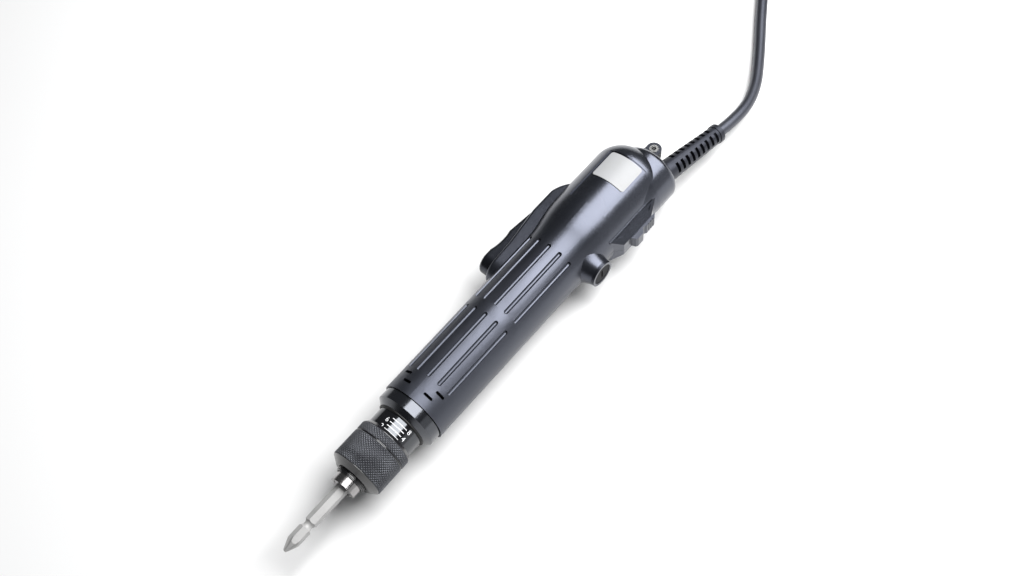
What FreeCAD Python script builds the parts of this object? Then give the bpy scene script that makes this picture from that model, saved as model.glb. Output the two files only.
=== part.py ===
"""Lever-start electric screwdriver: corded brush motor, planet gears, sprung ball clutch and a quick chuck.

Millimetres. X runs along the spindle from the bit to the cord, Z up through the label, Y to the lever side.
The origin is on the spindle axis where the nose collar meets the housing.
"""
import FreeCAD
import Part
import math
import os

os.makedirs("parts", exist_ok=True)
V = FreeCAD.Vector

# Fits
running = 0.05            # radial play of a shaft in a bore or of a slide in its way
seat = 0.02               # radial play of what is pressed or screwed in place
room = 0.35               # air between pieces that pass each other
overrun = 60.0            # reach of a cut past the piece that it cuts

# Housing: two moulded half shells with a straight grip, a flare and a round rear end
housing_length = 200.4
grip_radius = 19.2
grip_taper = 0.3
flare_rise = 3.3
flare_length = 34.0
rear_length = 54.4
rear_corner = 16.5
wall = 2.4
seam_gap = 0.3            # dark line between the nose collar and the housing
grip_rear_radius = grip_radius + grip_taper
rear_radius = grip_rear_radius + flare_rise
flare_end = housing_length - rear_length
flare_start = flare_end - flare_length
corner_x = housing_length - rear_corner

# Grip grooves and vents, laid out about the top of each shell
groove_width = 2.4
groove_depth = 0.8
groove_first = 14.6
groove_gap = 5.9
groove_over = 3.5         # how far the rear row reaches into the flare
groove_angles = (-44.0, -22.0, 0.0, 22.0, 44.0)
groove_length = (flare_start + groove_over - groove_first - groove_gap) / 2
vent_length = 5.8
vent_width = 1.6
vent_first = 6.7
vent_step = 4.9
vent_angles = (22.5, 35.0)

# Label recess and label
recess_margin = 1.5
recess_over = 1.5
recess_angle = 33.0
recess_depth = 0.5
label_length = 18.8
label_margin = 1.0
label_angle = 28.0
label_thickness = 0.4
label_corner = 1.6
recess_front = flare_end + recess_margin
recess_rear = corner_x + recess_over
label_rear = recess_rear - label_margin
label_front = label_rear - label_length

# Nose, dial sleeve and knurled rings
collar_step = 0.9
collar_length = 9.0
collar_straight = 6.1
collar_lip = 0.9
seal_lip = 1.1
seal_length = 1.2
dial_radius = 13.8
dial_wall = 2.3
dial_length = 29.0
ring_depth = 1.55         # of the knurled rings over the dial sleeve
ring_overhang = 11.8      # of the torque ring past the front of the dial sleeve
ring_length = 20.0
ring_chamfer = 2.8
ring_face = 4.8           # thickness of the front wall of the torque ring
ring_seam = 0.25
lock_length = 7.3
lock_chamfer = 1.8
bush_wall = 1.85
bush_reach = 2.2
bush_step_length = 0.5
bush_groove = 0.25
bush_step_shares = (0.54, 0.76, 0.97)
torque_face = 1.85
case_overlap = 6.0        # of the gear case inside the collar

# Chuck, spindle and bit
holder_radius = 5.9
chuck_wall = 1.6
chuck_reach = 7.4         # of the bright collar past the torque ring
chuck_length = 10.8
chuck_pull = 2.0
chuck_clip = 0.6
chuck_slit = 0.8
chuck_slit_angle = 34.0
chuck_spring_inset = 1.2
chuck_spring_length = 3.2
chuck_spring_depth = 0.9
chuck_spring_wire = 0.6
chuck_spring_turns = 2
holder_length = 25.2
spindle_radius = 4.5
spindle_tail = 4.0
hex_flats = 6.35
hex_play = 0.06
bit_length = 65.0
bit_depth = 22.8          # of the bit inside the chuck
bit_point = 6.5
bit_point_radius = 0.9
bit_groove_from_end = 17.0
bit_groove_length = 4.6
bit_groove_radius = 2.45
bit_flute_radius = 1.5
bit_flute_length = 10.0
bit_roll = 27.0
ball_radius = 1.3

# Clutch
seat_front_length = 9.0
clutch_spring_turns = 4
clutch_wire_share = 0.38  # of the room between the holder and the dial sleeve
race_length = 1.6
cam_gap = 1.0
clutch_plate_length = 2.6
clutch_cam_length = 2.6
clutch_balls_count = 6
clutch_ball_share = 0.39  # of the width of the clutch cam
clutch_gap_share = 0.55   # of a ball's diameter

# Gears
case_share = 0.393        # of the straight grip that lies in front of the motor
bearing_inset = 0.4
case_play = 0.5
case_wall = 0.78
bearing_length = 6.0
bearing_wall = 3.45
carrier_shaft = 6.0
carrier_gap = 5.1
carrier_length = 4.5
carrier_rim = 2.6
sun_teeth = 9
planet_teeth = 18
ring_teeth = 45
planet_count = 3
planet_pin_radius = 1.5
gear_width = 11.0
ring_rim = 1.33
backlash = 0.22
addendum_share = 0.9      # of the module
dedendum_share = 1.15
pressure_angle = 20.0
case_front = -case_overlap
case_rear = case_share * flare_start
bearing_front = case_front + bearing_inset
carrier_front = bearing_front + bearing_length + carrier_gap
case_radius = grip_radius - wall - case_play
ring_gear_radius = case_radius - case_wall
bearing_radius = carrier_shaft + bearing_wall
module = 2 * (ring_gear_radius - ring_rim) / (ring_teeth + 2 * dedendum_share)

# Places in front of the housing, worked back from the gear case
collar_radius = grip_radius - collar_step
dial_bore = dial_radius - dial_wall
dial_front = case_front - dial_length
ring_radius = dial_radius + ring_depth
ring_front = dial_front - ring_overhang
ring_rear = ring_front + ring_length
chuck_radius = holder_radius + chuck_wall
chuck_front = ring_front - chuck_reach
chuck_rear = chuck_front + chuck_length
chuck_spring_front = chuck_front + chuck_spring_inset
holder_rear = chuck_front + holder_length
bit_tail = chuck_front + bit_depth
bit_tip = bit_tail - bit_length
bush_radius = chuck_radius + bush_wall
spring_bore = holder_radius + room
clutch_spring_radius = (dial_bore + spring_bore) / 2
clutch_spring_wire = clutch_wire_share * (dial_bore - spring_bore)
clutch_radius = dial_bore - room
clutch_ball_radius = clutch_ball_share * (clutch_radius - carrier_shaft)
clutch_ball_circle = (clutch_radius + carrier_shaft) / 2
clutch_ball_gap = clutch_gap_share * 2 * clutch_ball_radius
clutch_cam_rear = case_front - cam_gap
clutch_cam_front = clutch_cam_rear - clutch_cam_length
clutch_front = clutch_cam_front - clutch_ball_gap - clutch_plate_length

# Motor
plate_length = 4.0
can_step = 2.3
can_wall = 1.2
can_to_brush = 9.0
magnet_thickness = 2.1
magnet_margin = 6.5
magnet_angle = 130.0
air_gap = 0.5
core_margin = 12.0
core_slots = 7
slot_width = 2.6
slot_depth_share = 0.45   # of the core's radius
slot_mouth = 0.9
core_tooth_lip = 1.0
end_turn_length = 5.0
end_turn_inner = 3.4
shaft_radius = 2.0
pinion_shaft = 1.1
shaft_past_bearing = 3.0
motor_bearing_radius = 5.5
motor_bearing_length = 4.0
fan_length = 4.6
fan_margin = 0.6
fan_hub = 5.0
fan_blades = 9
fan_blade_thickness = 0.8
commutator_length = 14.0
commutator_radius = 6.5
commutator_slit = 0.4
commutator_slit_depth = 1.0
rear_plate_step = 1.5
rear_plate_to_brush = 8.0
rib_length = 2.5
rib_margin = 10.0

# Brush gear
brush_ahead = 19.0        # of the flare's rear end
brush_width = 5.0
brush_depth = 7.0
brush_length_share = 0.68 # of the room between the commutator and the far cap
holder_clearance = 1.9
cap_radius = 6.5
cap_height = 3.2
cap_sunk = 0.3
cap_slot_width = 1.2
cap_slot_depth = 1.0
cap_slot_share = 0.5       # of the cap's diameter
far_cap_rim = 0.7
far_cap_height = 2.0
boss_height = 4.1         # of the cap's boss over the full radius of the housing
boss_rim = 1.5
boss_root_share = 2.3     # of the cap's radius
boss_bow_share = 0.5
boss_root_depth = 13.9
stud_radius = 2.2
brush_spring_turns = 3
brush_spring_wire = 0.5
brush_x = flare_end - brush_ahead
can_radius = case_radius - can_step
can_front = case_rear + plate_length
can_rear = brush_x - can_to_brush
rear_plate_front = brush_x + rear_plate_to_brush
rear_plate_radius = can_radius + rear_plate_step
boss_face = rear_radius + boss_height
commutator_front = brush_x - commutator_length / 2
holder_inner = commutator_radius + holder_clearance

# Start lever, its boss and its pivot: heights from the floor of its pocket, lengths from its pivot
floor_thickness = 2.2
floor_clearance = 0.2
pivot_height = 4.8
pin_radius = 1.5
eye_radius = 2.6
lever_length = 58.6
lever_half_width = 7.6
lever_skirt_height = 4.6
lever_tip_height = 13.5
lever_waist_height = 12.2
lever_crown_height = 12.9
lever_skin = 2.6
lever_wall = 2.0
lever_arm = 12.6
lever_press = 3.2         # degrees
boss_rim_height = 6.4
ramp_front_back = 38.0
ramp_front_height = 7.0
ramp_gap = 1.4
roof_height = 10.0
roof_past_pivot = 2.0
roof_thickness = 2.2
boss_past_pivot = 12.0
pocket_past_pivot = 5.5
edge_round = 1.9
pocket_floor = can_radius + floor_clearance + floor_thickness
pivot_x = flare_end
pivot_y = pocket_floor + pivot_height
lever_nose = pivot_x - lever_length
lever_shoulder = pivot_x - lever_arm
lever_tip = pocket_floor + lever_tip_height
lever_waist = pocket_floor + lever_waist_height
lever_crown = pocket_floor + lever_crown_height
lever_skirt = pocket_floor + lever_skirt_height
nose_x = lever_nose + lever_half_width
boss_rear = pivot_x + boss_past_pivot
pocket_rear = pivot_x + pocket_past_pivot

# Start switch and lever spring
start_switch_back = 34.0
start_switch_length = 15.0
start_switch_half_width = 4.4
start_switch_height = 5.0
plunger_radius = 1.6
plunger_depth = 3.2
plunger_dome = 0.4
lever_spring_back = 49.0
lever_spring_radius = 3.4
lever_spring_wire = 0.8
lever_spring_turns = 4
start_switch_x = pivot_x - start_switch_back
lever_spring_x = pivot_x - lever_spring_back

# Switch bulge and direction knob
bulge_lead = 5.0
bulge_margin = 0.9
bulge_front_slope = 6.0
bulge_rear_slope = 11.0
bulge_height = 3.8        # over the full radius of the housing
bulge_facet = 5.1
bulge_half_face = 4.9
bulge_half_shoulder = 9.2
bulge_root = 6.5
strip_height = 2.0
strip_depth = 0.7
strip_slope = 0.7
strip_point = 5.0
knob_inset = 12.5
knob_length = 21.5
knob_half_width = 4.0
knob_high = 3.2
knob_low = 1.9
knob_shares = ((0, 0), (0.05, 0.8), (0.12, 1), (0.32, 1), (0.43, 0.32), (0.5, 0.32), (0.56, 0.594),
               (0.88, 0.594), (1, 0))
knob_groove_shares = (0.62, 0.71, 0.80)
knob_travel = 3.5
stem_length = 6.0
stem_half_width = 2.0
stem_depth = 6.0
switch_margin = 1.0
switch_depth = 8.7
bulge_front = flare_end - bulge_lead
bulge_rear = corner_x - bulge_margin
bulge_face = rear_radius + bulge_height
bulge_shoulder = bulge_face - bulge_facet
bulge_foot = bulge_shoulder - bulge_root
knob_front = bulge_front + knob_inset

# Board, screws and posts
board_inset = 6.5
board_end_gap = 3.4
board_half_width = 11.5
board_height = 4.0
board_thickness = 1.6
part_height = 7.0
post_radius = 2.2
screw_shares = ((0.32, 0.72), (1.075, 0.526), (0.013, -0.592), (0.995, -0.724))
screw_radius = 1.4
screw_head = 2.7
screw_head_height = 1.8
screw_seat = 11.0         # depth of the head's seat below the split plane
screw_reach = 8.0
screw_boss = 4.0
board_front = flare_end + board_inset
board_rear = corner_x - board_end_gap

# Hanger
hanger_reach = 10.1
hanger_hole_y = 0.3
hanger_tip = 4.6
hanger_half_thickness = 3.0
hanger_base = 7.8
hanger_flare = 6.0
hanger_flange_depth = 8.6
hanger_flange_length = 3.4
hanger_flange_reach = 10.5
eyelet_radius = 2.1
eyelet_bore = 1.4
eyelet_lip = 0.6
eyelet_lip_height = 0.4
hanger_hole_x = housing_length + hanger_reach
hanger_flare_x = housing_length + hanger_flare
hanger_flange_front = housing_length - hanger_flange_depth
hanger_flange_rear = hanger_flange_front + hanger_flange_length

# Cord outlet and strain relief
outlet_step = 0.2
outlet_y = -13.2
end_y = -6.2               # middle of the flat round end
end_radius = 18.6
end_corner = 4.6
end_rise = 1.2
end_taper = 11.0
end_length = 28.6
boot_yaw = 5.5
boot_droop = 10.0
boot_length = 50.0
boot_base = 6.8
boot_end = 5.3
boot_collar = 5.8
boot_collar_length = 3.0
boot_plug = 4.0
boot_plug_out = 1.5
boot_flange = 7.5
boot_flange_length = 3.0
boot_slots = 9
boot_slot_first = 7.0
boot_slot_share = 0.49    # of the pitch of the slots
boot_core = 3.7
boot_slot_half = 3.1
boot_slot_angle = 50.0
outlet_x = housing_length + outlet_step
boot_slot_step = (boot_length - boot_slot_first - boot_collar_length) / boot_slots

# Cord, coil, tie and connector
cord_radius = 3.6
cord_first_run = 20.9
cord_route = (
    (295.5, -14.5, -17.0),
    (322.0, 0.5, -19.1),
    (350.0, 18.5, -19.1),
    (414.7, 57.1, -18.2),
)
bend_share = 0.45
coil_radius = 45.5
coil_layers = 3
layer_turns = 2
tail_turns = 0.333        # past the last layer
rise_turns = 0.777        # over which the end climbs to the connector
coil_gap = 0.5
tie_width = 6.0
tie_thickness = 0.9
tie_share = 0.641         # of a turn behind the place where the cord enters
tie_gap = 0.5
connector_radius = 9.0
connector_length = 20.0
connector_ring = 10.4
connector_ring_length = 9.0
connector_neck = 6.0
connector_neck_length = 8.0
pin_count = 5
pin_circle = 5.0
connector_pin_radius = 0.9
connector_pin_length = 6.0
coil_turns = coil_layers * layer_turns + tail_turns
coil_step = 2 * cord_radius + coil_gap

X, Y, Z = V(1, 0, 0), V(0, 1, 0), V(0, 0, 1)


# General shapes
def outline(place, start, *steps):
    """Closed wire through points in a plane; a step that is a pair of points is an arc through the first."""
    edges = []
    last = start
    for step in steps + (start,):
        if isinstance(step[0], tuple):
            edges.append(Part.Arc(place(*last), place(*step[0]), place(*step[1])).toShape())
            last = step[1]
        elif step != last:
            edges.append(Part.makeLine(place(*last), place(*step)))
            last = step
    return Part.Wire(edges)


def turned(start, *steps):
    """Solid of revolution about the spindle axis from points of place and radius."""
    profile = outline(lambda x, r: V(x, 0, r), start, *steps)
    return Part.Face(profile).revolve(V(0, 0, 0), X, 360)


def slab(low, high, start, *steps):
    """Plan outline raised from one height to another."""
    return Part.Face(outline(lambda x, y: V(x, y, low), start, *steps)).extrude(Z * (high - low))


def block(x0, x1, y0, y1, z0, z1):
    return Part.makeBox(x1 - x0, y1 - y0, z1 - z0, V(x0, y0, z0))


def rod(x0, x1, radius):
    return Part.makeCylinder(radius, x1 - x0, V(x0, 0, 0), X)


def ring(x0, x1, radius, bore):
    return rod(x0, x1, radius).cut(rod(x0 - overrun, x1 + overrun, bore))


def cross_rod(x, y0, y1, radius):
    """Cylinder along Y."""
    return Part.makeCylinder(radius, y1 - y0, V(x, y0, 0), Y)


def post(x, y, z0, z1, radius):
    return Part.makeCylinder(radius, z1 - z0, V(x, y, z0), Z)


def about_axis(shape, degrees):
    return shape.rotated(V(0, 0, 0), X, degrees)


def around(shape, count):
    return [about_axis(shape, 360.0 * i / count) for i in range(count)]


def hexagon(x0, x1, flats, roll):
    corner = flats / math.sqrt(3)
    points = []
    for i in range(7):
        angle = math.radians(roll + 60 * i)
        points.append(V(x0, corner * math.cos(angle), corner * math.sin(angle)))
    return Part.Face(Part.makePolygon(points)).extrude(X * (x1 - x0))


def joined(*shapes):
    return shapes[0].fuse(list(shapes[1:])).removeSplitter()


# Tubes along arcs
def biarc(p, t, q, u):
    """Two tangent arcs from p, heading t, to q, heading u."""
    chord, sum_dir = q - p, t + u
    bend = 2 * (1 - t.dot(u))
    along = chord.dot(sum_dir)
    if bend < 1e-9:
        arm = chord.dot(chord) / (2 * along)
    else:
        arm = (math.sqrt(along ** 2 + bend * chord.dot(chord)) - along) / bend
    near, far = p + t * arm, q - u * arm
    middle = (near + far) * 0.5
    edges = []
    for a, corner, b in ((p, near, middle), (middle, far, q)):
        inward = (a + b) * 0.5 - corner
        half = math.asin(min(1.0, inward.Length / arm))
        edges.append(Part.Arc(a, corner + inward.normalize() * (arm * math.tan(half / 2)), b).toShape())
    return edges


def wound(point, steps, entry=None):
    """Path of arcs through points of a curve, with a first heading if given."""
    tiny = 1e-4
    places = [point(s) for s in steps]
    headings = [(point(s + tiny) - point(s - tiny)).normalize() for s in steps]
    if entry is not None:
        headings[0] = entry
    edges = []
    for i in range(len(steps) - 1):
        edges += biarc(places[i], headings[i], places[i + 1], headings[i + 1])
    return Part.Wire(edges)


def bent(points):
    """Straight runs joined by arcs as large as the runs allow; prints the radii."""
    edges = []
    last = points[0]
    radii = []
    for before, corner, after in zip(points, points[1:], points[2:]):
        back, ahead = before - corner, after - corner
        arm = bend_share * min(back.Length, ahead.Length)
        a, b = corner + back.normalize() * arm, corner + ahead.normalize() * arm
        half_turn = (math.pi - back.getAngle(ahead)) / 2
        radii.append(round(arm / math.tan(half_turn), 1))
        inward = (a + b) * 0.5 - corner
        middle = corner + inward.normalize() * (arm * math.tan(half_turn / 2))
        edges += [Part.makeLine(last, a), Part.Arc(a, middle, b).toShape()]
        last = b
    edges.append(Part.makeLine(last, points[-1]))
    print("cord bend radii", radii)
    return Part.Wire(edges)


def tube(path, radius):
    start, heading = path.Edges[0].valueAt(path.Edges[0].FirstParameter), path.Edges[0].tangentAt(0)
    section = Part.Wire(Part.makeCircle(radius, start, heading))
    return path.makePipeShell([section], True, False)


def spring(start, end, radius, wire, turns):
    """Coil of square wire between two points of its axis."""
    axis = (end - start).normalize()
    across = axis.cross(Z if abs(axis.dot(Z)) < 0.9 else X).normalize()
    beside = axis.cross(across)
    length = (end - start).Length
    climb = math.atan(length / (2 * math.pi * radius * turns))
    margin = wire * (math.cos(climb) + math.sin(climb)) / 2 + running

    def point(turn):
        a = 2 * math.pi * turn
        rise = margin + (length - 2 * margin) * turn / turns
        return start + axis * rise + (across * math.cos(a) + beside * math.sin(a)) * radius

    path = wound(point, [i / 4 for i in range(4 * turns + 1)])
    first = path.Edges[0]
    heading = first.tangentAt(first.FirstParameter)
    out = across * (wire / 2)
    side = heading.cross(across).normalize() * (wire / 2)
    here = point(0)
    corners = [here + out + side, here - out + side, here - out - side, here + out - side, here + out + side]
    return path.makePipeShell([Part.makePolygon(corners)], True, False)


# Housing
def housing_skin(front, inset):
    """Body of the housing, drawn in by the inset all round."""
    rise = (rear_radius - grip_rear_radius) / 2
    run = (flare_end - flare_start) / 2
    bend = (run ** 2 + rise ** 2) / (2 * rise)
    half = math.asin(run / bend) / 2
    low, high = grip_rear_radius - inset, rear_radius - inset
    dx, dr = bend * math.sin(half), bend * (1 - math.cos(half))
    corner = rear_corner - inset
    flat = rear_radius - rear_corner
    diagonal = math.sqrt(0.5)
    return turned(
        (front, 0), (front, grip_radius - inset), (flare_start, low),
        ((flare_start + dx, low + dr), (flare_start + run, low + rise)),
        ((flare_end - dx, high - dr), (flare_end, high)),
        (corner_x, high),
        ((corner_x + corner * diagonal, flat + corner * diagonal), (corner_x + corner, flat)),
        (corner_x + corner, 0))


def brush_boss():
    """Faired boss round the near brush cap."""
    rim, root, foot = cap_radius + boss_rim, cap_radius * boss_root_share, boss_face - boss_root_depth
    straight = boss_face - cap_sunk - cap_height / 2
    bow = ((root + 2 * rim) / 3, foot + (straight - foot) * boss_bow_share)
    profile = outline(lambda r, depth: V(brush_x + r, -depth, 0), (0, foot), (root, foot),
                      (bow, (rim, straight)), (rim, boss_face), (0, boss_face))
    return Part.Face(profile).revolve(V(brush_x, 0, 0), Y, 360)


def switch_bulge():
    """Raised block under the direction knob: a section along X, trimmed by a sloped plan."""
    section = outline(lambda y, z: V(bulge_front, -y, z),
                      (bulge_foot, bulge_half_shoulder), (bulge_shoulder, bulge_half_shoulder),
                      (bulge_face, bulge_half_face), (bulge_face, -bulge_half_face),
                      (bulge_shoulder, -bulge_half_shoulder), (bulge_foot, -bulge_half_shoulder))
    length = Part.Face(section).extrude(X * (bulge_rear - bulge_front))
    plan = slab(-overrun, overrun, (bulge_front, -bulge_foot), (bulge_front, -bulge_shoulder),
                (bulge_front + bulge_front_slope, -bulge_face), (bulge_rear - bulge_rear_slope, -bulge_face),
                (bulge_rear, -bulge_shoulder), (bulge_rear, -bulge_foot))
    return length.common(plan)


def switch_strip():
    """Shallow pointed panel in the upper facet of the switch bulge."""
    top, low = V(0, -bulge_shoulder, bulge_half_shoulder), V(0, -bulge_face, bulge_half_face)
    down = (low - top).normalize()
    out = down.cross(X).normalize()
    out = out if out.z > 0 else -out
    front, rear = bulge_front + strip_point, bulge_rear - strip_point
    margin = (bulge_half_shoulder - bulge_half_face) / 4

    def panel(grown, height):
        """Outline of the panel, grown all round, at a height over the facet."""
        def place(x, v):
            return top + X * x + down * (margin + v) + out * height
        low = strip_height + grown
        return outline(place, (front - grown, -grown), (rear + grown, -grown), (rear - strip_point, low),
                       (front + strip_point, low))

    return Part.makeLoft([panel(0, -strip_depth), panel(2 * strip_slope, strip_depth)], True, True)


def nose_drum(radius, low, high, round_over=0):
    """Round front end of the lever's boss, pocket or body, with its upper edge rounded over if asked."""
    drum = Part.makeCylinder(radius, high - low, V(nose_x, low, 0), Y)
    if not round_over:
        return drum
    return drum.makeFillet(round_over, [e for e in drum.Edges if e.BoundBox.YMin > high - seat])


def lever_boss():
    half = lever_half_width + room + wall
    root, rear_y = pocket_floor - floor_thickness, rear_radius - wall / 2
    roof_rear = pivot_x + roof_past_pivot
    rim_y, ramp_y, roof_y = [pocket_floor + h for h in (boss_rim_height, ramp_front_height, roof_height)]
    rear_bow = ((roof_rear + boss_rear) / 2, (rear_y + 2 * roof_y) / 3)
    solid = slab(-half, half, (nose_x, root), (nose_x, rim_y), (pivot_x - ramp_front_back, ramp_y),
                 (lever_shoulder - ramp_gap, roof_y), (roof_rear, roof_y), (rear_bow, (boss_rear, rear_y)),
                 (boss_rear, root))
    rims = [e for e in solid.Edges if abs(e.BoundBox.ZMin) > half - seat and e.BoundBox.ZLength < seat
            and e.BoundBox.YMin > rear_y - seat]
    return joined(solid.makeFillet(edge_round, rims), nose_drum(half, root, rim_y, edge_round))


def lever_pocket():
    half = lever_half_width + room
    under = pocket_floor + roof_height - roof_thickness
    roof_front = lever_shoulder + room
    straight = slab(-half, half, (nose_x, pocket_floor), (pocket_rear, pocket_floor), (pocket_rear, under),
                    (roof_front, under), (roof_front, overrun), (nose_x, overrun))
    return joined(straight, nose_drum(half, pocket_floor, overrun))


def round_end():
    """Flat round end of the housing, towards the near side, that the strain relief comes out of."""
    straight, flat, front = outlet_x - end_corner, end_radius - end_corner, outlet_x - end_length
    diagonal = end_corner * math.sqrt(0.5)
    end = turned((front, 0), (front, end_radius - end_rise), (front + end_taper, end_radius),
                 (straight, end_radius), ((straight + diagonal, flat + diagonal), (outlet_x, flat)),
                 (outlet_x, 0))
    return end.translated(V(0, end_y, 0))


def boot_heading():
    return V(1, -math.tan(math.radians(boot_yaw)), -math.tan(math.radians(boot_droop))).normalize()


def along_boot(start, end, radius, end_radius=None):
    """Round piece of the strain relief between two places along its axis."""
    heading, base = boot_heading(), V(outlet_x, outlet_y, 0)
    if end_radius is None:
        return Part.makeCylinder(radius, end - start, base + heading * start, heading)
    return Part.makeCone(radius, end_radius, end - start, base + heading * start, heading)


def grip_grooves():
    """Two rows of round-bottomed grooves with round ends in the top of the grip."""
    radius = (groove_width ** 2 / 4 + groove_depth ** 2) / (2 * groove_depth)
    height, cuts = grip_radius - groove_depth + radius, []
    for row in range(2):
        x0 = groove_first + row * (groove_length + groove_gap) + groove_width / 2
        x1 = x0 + groove_length - groove_width
        ends = [Part.makeSphere(radius, V(x, 0, height)) for x in (x0, x1)]
        cut = joined(Part.makeCylinder(radius, x1 - x0, V(x0, 0, height), X), *ends)
        cuts += [about_axis(cut, angle) for angle in groove_angles]
    return cuts


def vents():
    """Round-ended slots across the front of the grip."""
    half, straight, cuts = vent_width / 2, (vent_length - vent_width) / 2, []
    for row, angle in enumerate(vent_angles):
        x = vent_first + row * vent_step
        cut = slab(case_radius, overrun, (x - half, -straight),
                   ((x, -straight - half), (x + half, -straight)), (x + half, straight),
                   ((x, straight + half), (x - half, straight)))
        cuts += [about_axis(cut, angle), about_axis(cut, -angle)]
    return cuts


def sector(x0, x1, outer, inner, half_angle):
    """Piece of a ring about the axis, centred on the top."""
    start = 90 - half_angle
    face = Part.Face(outline(lambda x, r: V(x, r, 0), (x0, inner), (x1, inner), (x1, outer), (x0, outer)))
    return about_axis(face.revolve(V(0, 0, 0), X, 2 * half_angle), start)


def housing_body():
    """Hollow housing before it is split into shells."""
    outer = joined(housing_skin(seam_gap, 0), brush_boss(), switch_bulge(), lever_boss(), round_end())
    can_ribs = [ring(x, x + rib_length, rear_radius, can_radius + seat)
                for x in (can_front, can_rear - rib_margin)]
    case_ribs = [ring(x, x + rib_length, rear_radius, case_radius + seat)
                 for x in (vent_first - 2 * rib_length, case_rear - rib_length)]
    plate_rib = ring(rear_plate_front + seat, rear_plate_front + rib_length, rear_radius,
                     rear_plate_radius + seat)
    half = lever_half_width + room + wall / 2
    low, high = pocket_floor - floor_thickness, rear_radius - wall / 2
    floor = joined(block(nose_x, boss_rear, low, high, -half, half), nose_drum(half, low, high))
    cap_seat = cross_rod(brush_x, cap_height - boss_face, boss_root_depth - boss_face,
                         cap_radius + boss_rim / 2)
    bosses = [post(x, y, -rear_radius, rear_radius, screw_boss) for x, y in screw_places()]
    inner = joined(*can_ribs, *case_ribs, plate_rib, floor, cap_seat, *bosses).common(outer)
    hollow = outer.cut(housing_skin(-overrun, wall))
    return joined(hollow, inner)


def screw_places():
    length = corner_x - flare_end
    return [(flare_end + along * length, across * rear_radius) for along, across in screw_shares]


def board_posts():
    inset, side = 2 * post_radius, board_half_width / 2
    return ((board_front + inset, -side), (board_rear - inset, side))


def housing_cuts():
    """Everything that is cut through the walls of both shells."""
    slot_front = knob_front + knob_length / 2 - stem_length / 2 - knob_travel - room
    slot_rear = slot_front + stem_length + 2 * (knob_travel + room)
    slot_half = stem_half_width + room
    near_bore = cross_rod(brush_x, -overrun, -holder_inner, cap_radius + seat)
    far_bore = cross_rod(brush_x, holder_inner, overrun, cap_radius + seat).common(
        block(0, housing_length, 0, pocket_floor + seat, -overrun, overrun))
    half = hanger_half_thickness + seat
    return [near_bore, far_bore, lever_pocket(), switch_room(0), lever_pin(seat),
            block(slot_front, slot_rear, -overrun, -bulge_foot, -slot_half, slot_half),
            along_boot(-2 * boot_plug, boot_plug, boot_base + seat),
            along_boot(-boot_plug - 3 * boot_flange_length, -boot_plug, boot_flange + seat),
            block(hanger_flange_front, hanger_hole_x, -hanger_side() - seat,
                  hanger_hole_y + hanger_base + seat, -half, half)]


def switch_room(inset):
    """Space for the direction switch behind the face of the bulge."""
    front = knob_front - switch_margin - stem_length / 2
    rear = bulge_rear - bulge_rear_slope + switch_margin
    half = bulge_half_face - inset
    face = -bulge_face + wall
    return block(front + inset, rear - inset, face + inset, face + switch_depth, -half, half)


def hanger_side():
    return hanger_tip - hanger_hole_y


def shells():
    body = housing_body()
    for cut in housing_cuts():
        body = body.cut(cut)
    upper = body.common(block(-overrun, housing_length + overrun, -overrun, overrun, 0, overrun))
    lower = body.common(block(-overrun, housing_length + overrun, -overrun, overrun, -overrun, 0))
    recess = sector(recess_front, recess_rear, rear_radius + wall, rear_radius - recess_depth, recess_angle)
    top_cuts = grip_grooves() + vents()
    for cut in top_cuts + [recess, switch_strip()]:
        upper = upper.cut(cut)
    posts = [post(x, y, -rear_radius + wall / 2, board_height, post_radius) for x, y in board_posts()]
    lower = joined(lower, *posts)
    for x, y in screw_places():
        upper = upper.cut(post(x, y, 0, screw_reach + screw_radius, screw_radius + seat))
        lower = lower.cut(post(x, y, -overrun, -screw_seat, screw_head + room))
        lower = lower.cut(post(x, y, -overrun, 0, screw_radius + room))
    for cut in top_cuts:
        lower = lower.cut(about_axis(cut, 180))
    return upper, lower


def label_plate():
    inner = rear_radius - recess_depth
    plate = sector(label_front, label_rear, inner + label_thickness, inner, label_angle)
    corners = [e for e in plate.Edges if e.Length < label_thickness + seat]
    return plate.makeFillet(label_corner, corners)


def housing_screws():
    screws = []
    for x, y in screw_places():
        shank = post(x, y, -screw_seat, screw_reach, screw_radius)
        head = post(x, y, -screw_seat - screw_head_height, -screw_seat, screw_head)
        screws.append(joined(shank, head))
    return Part.makeCompound(screws)


# Nose and torque setting
def nose_collar():
    bore = dial_radius + seat
    case_bore = case_radius + seat
    return turned((-collar_length, bore), (-collar_length, dial_radius + collar_lip),
                  (-collar_straight, collar_radius), (0, collar_radius), (0, case_bore),
                  (case_front, case_bore), (case_front, bore))


def nose_seal():
    rear, bore, outer, quarter = -collar_length, dial_radius + seat, dial_radius + seal_lip, seal_length / 4
    front = rear - seal_length
    lip = ((front + quarter, outer - quarter), (front + 2 * quarter, outer))
    return turned((front, bore), lip, (rear, outer), (rear, bore))


def dial_sleeve():
    return ring(dial_front, case_front, dial_radius, dial_bore)


def torque_ring():
    bore = dial_radius + running
    inner_face = ring_front + ring_face
    return turned((ring_front, bush_radius + seat), (ring_front, bush_radius + torque_face),
                  (ring_front + ring_chamfer, ring_radius), (ring_rear, ring_radius), (ring_rear, bore),
                  (inner_face, bore), (inner_face, bush_radius + seat))


def lock_ring():
    bore = dial_radius + running
    front = ring_rear + ring_seam
    rear = front + lock_length
    return turned((front, bore), (front, ring_radius), (rear - lock_chamfer, ring_radius),
                  (rear, bore + running), (rear, bore))


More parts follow.
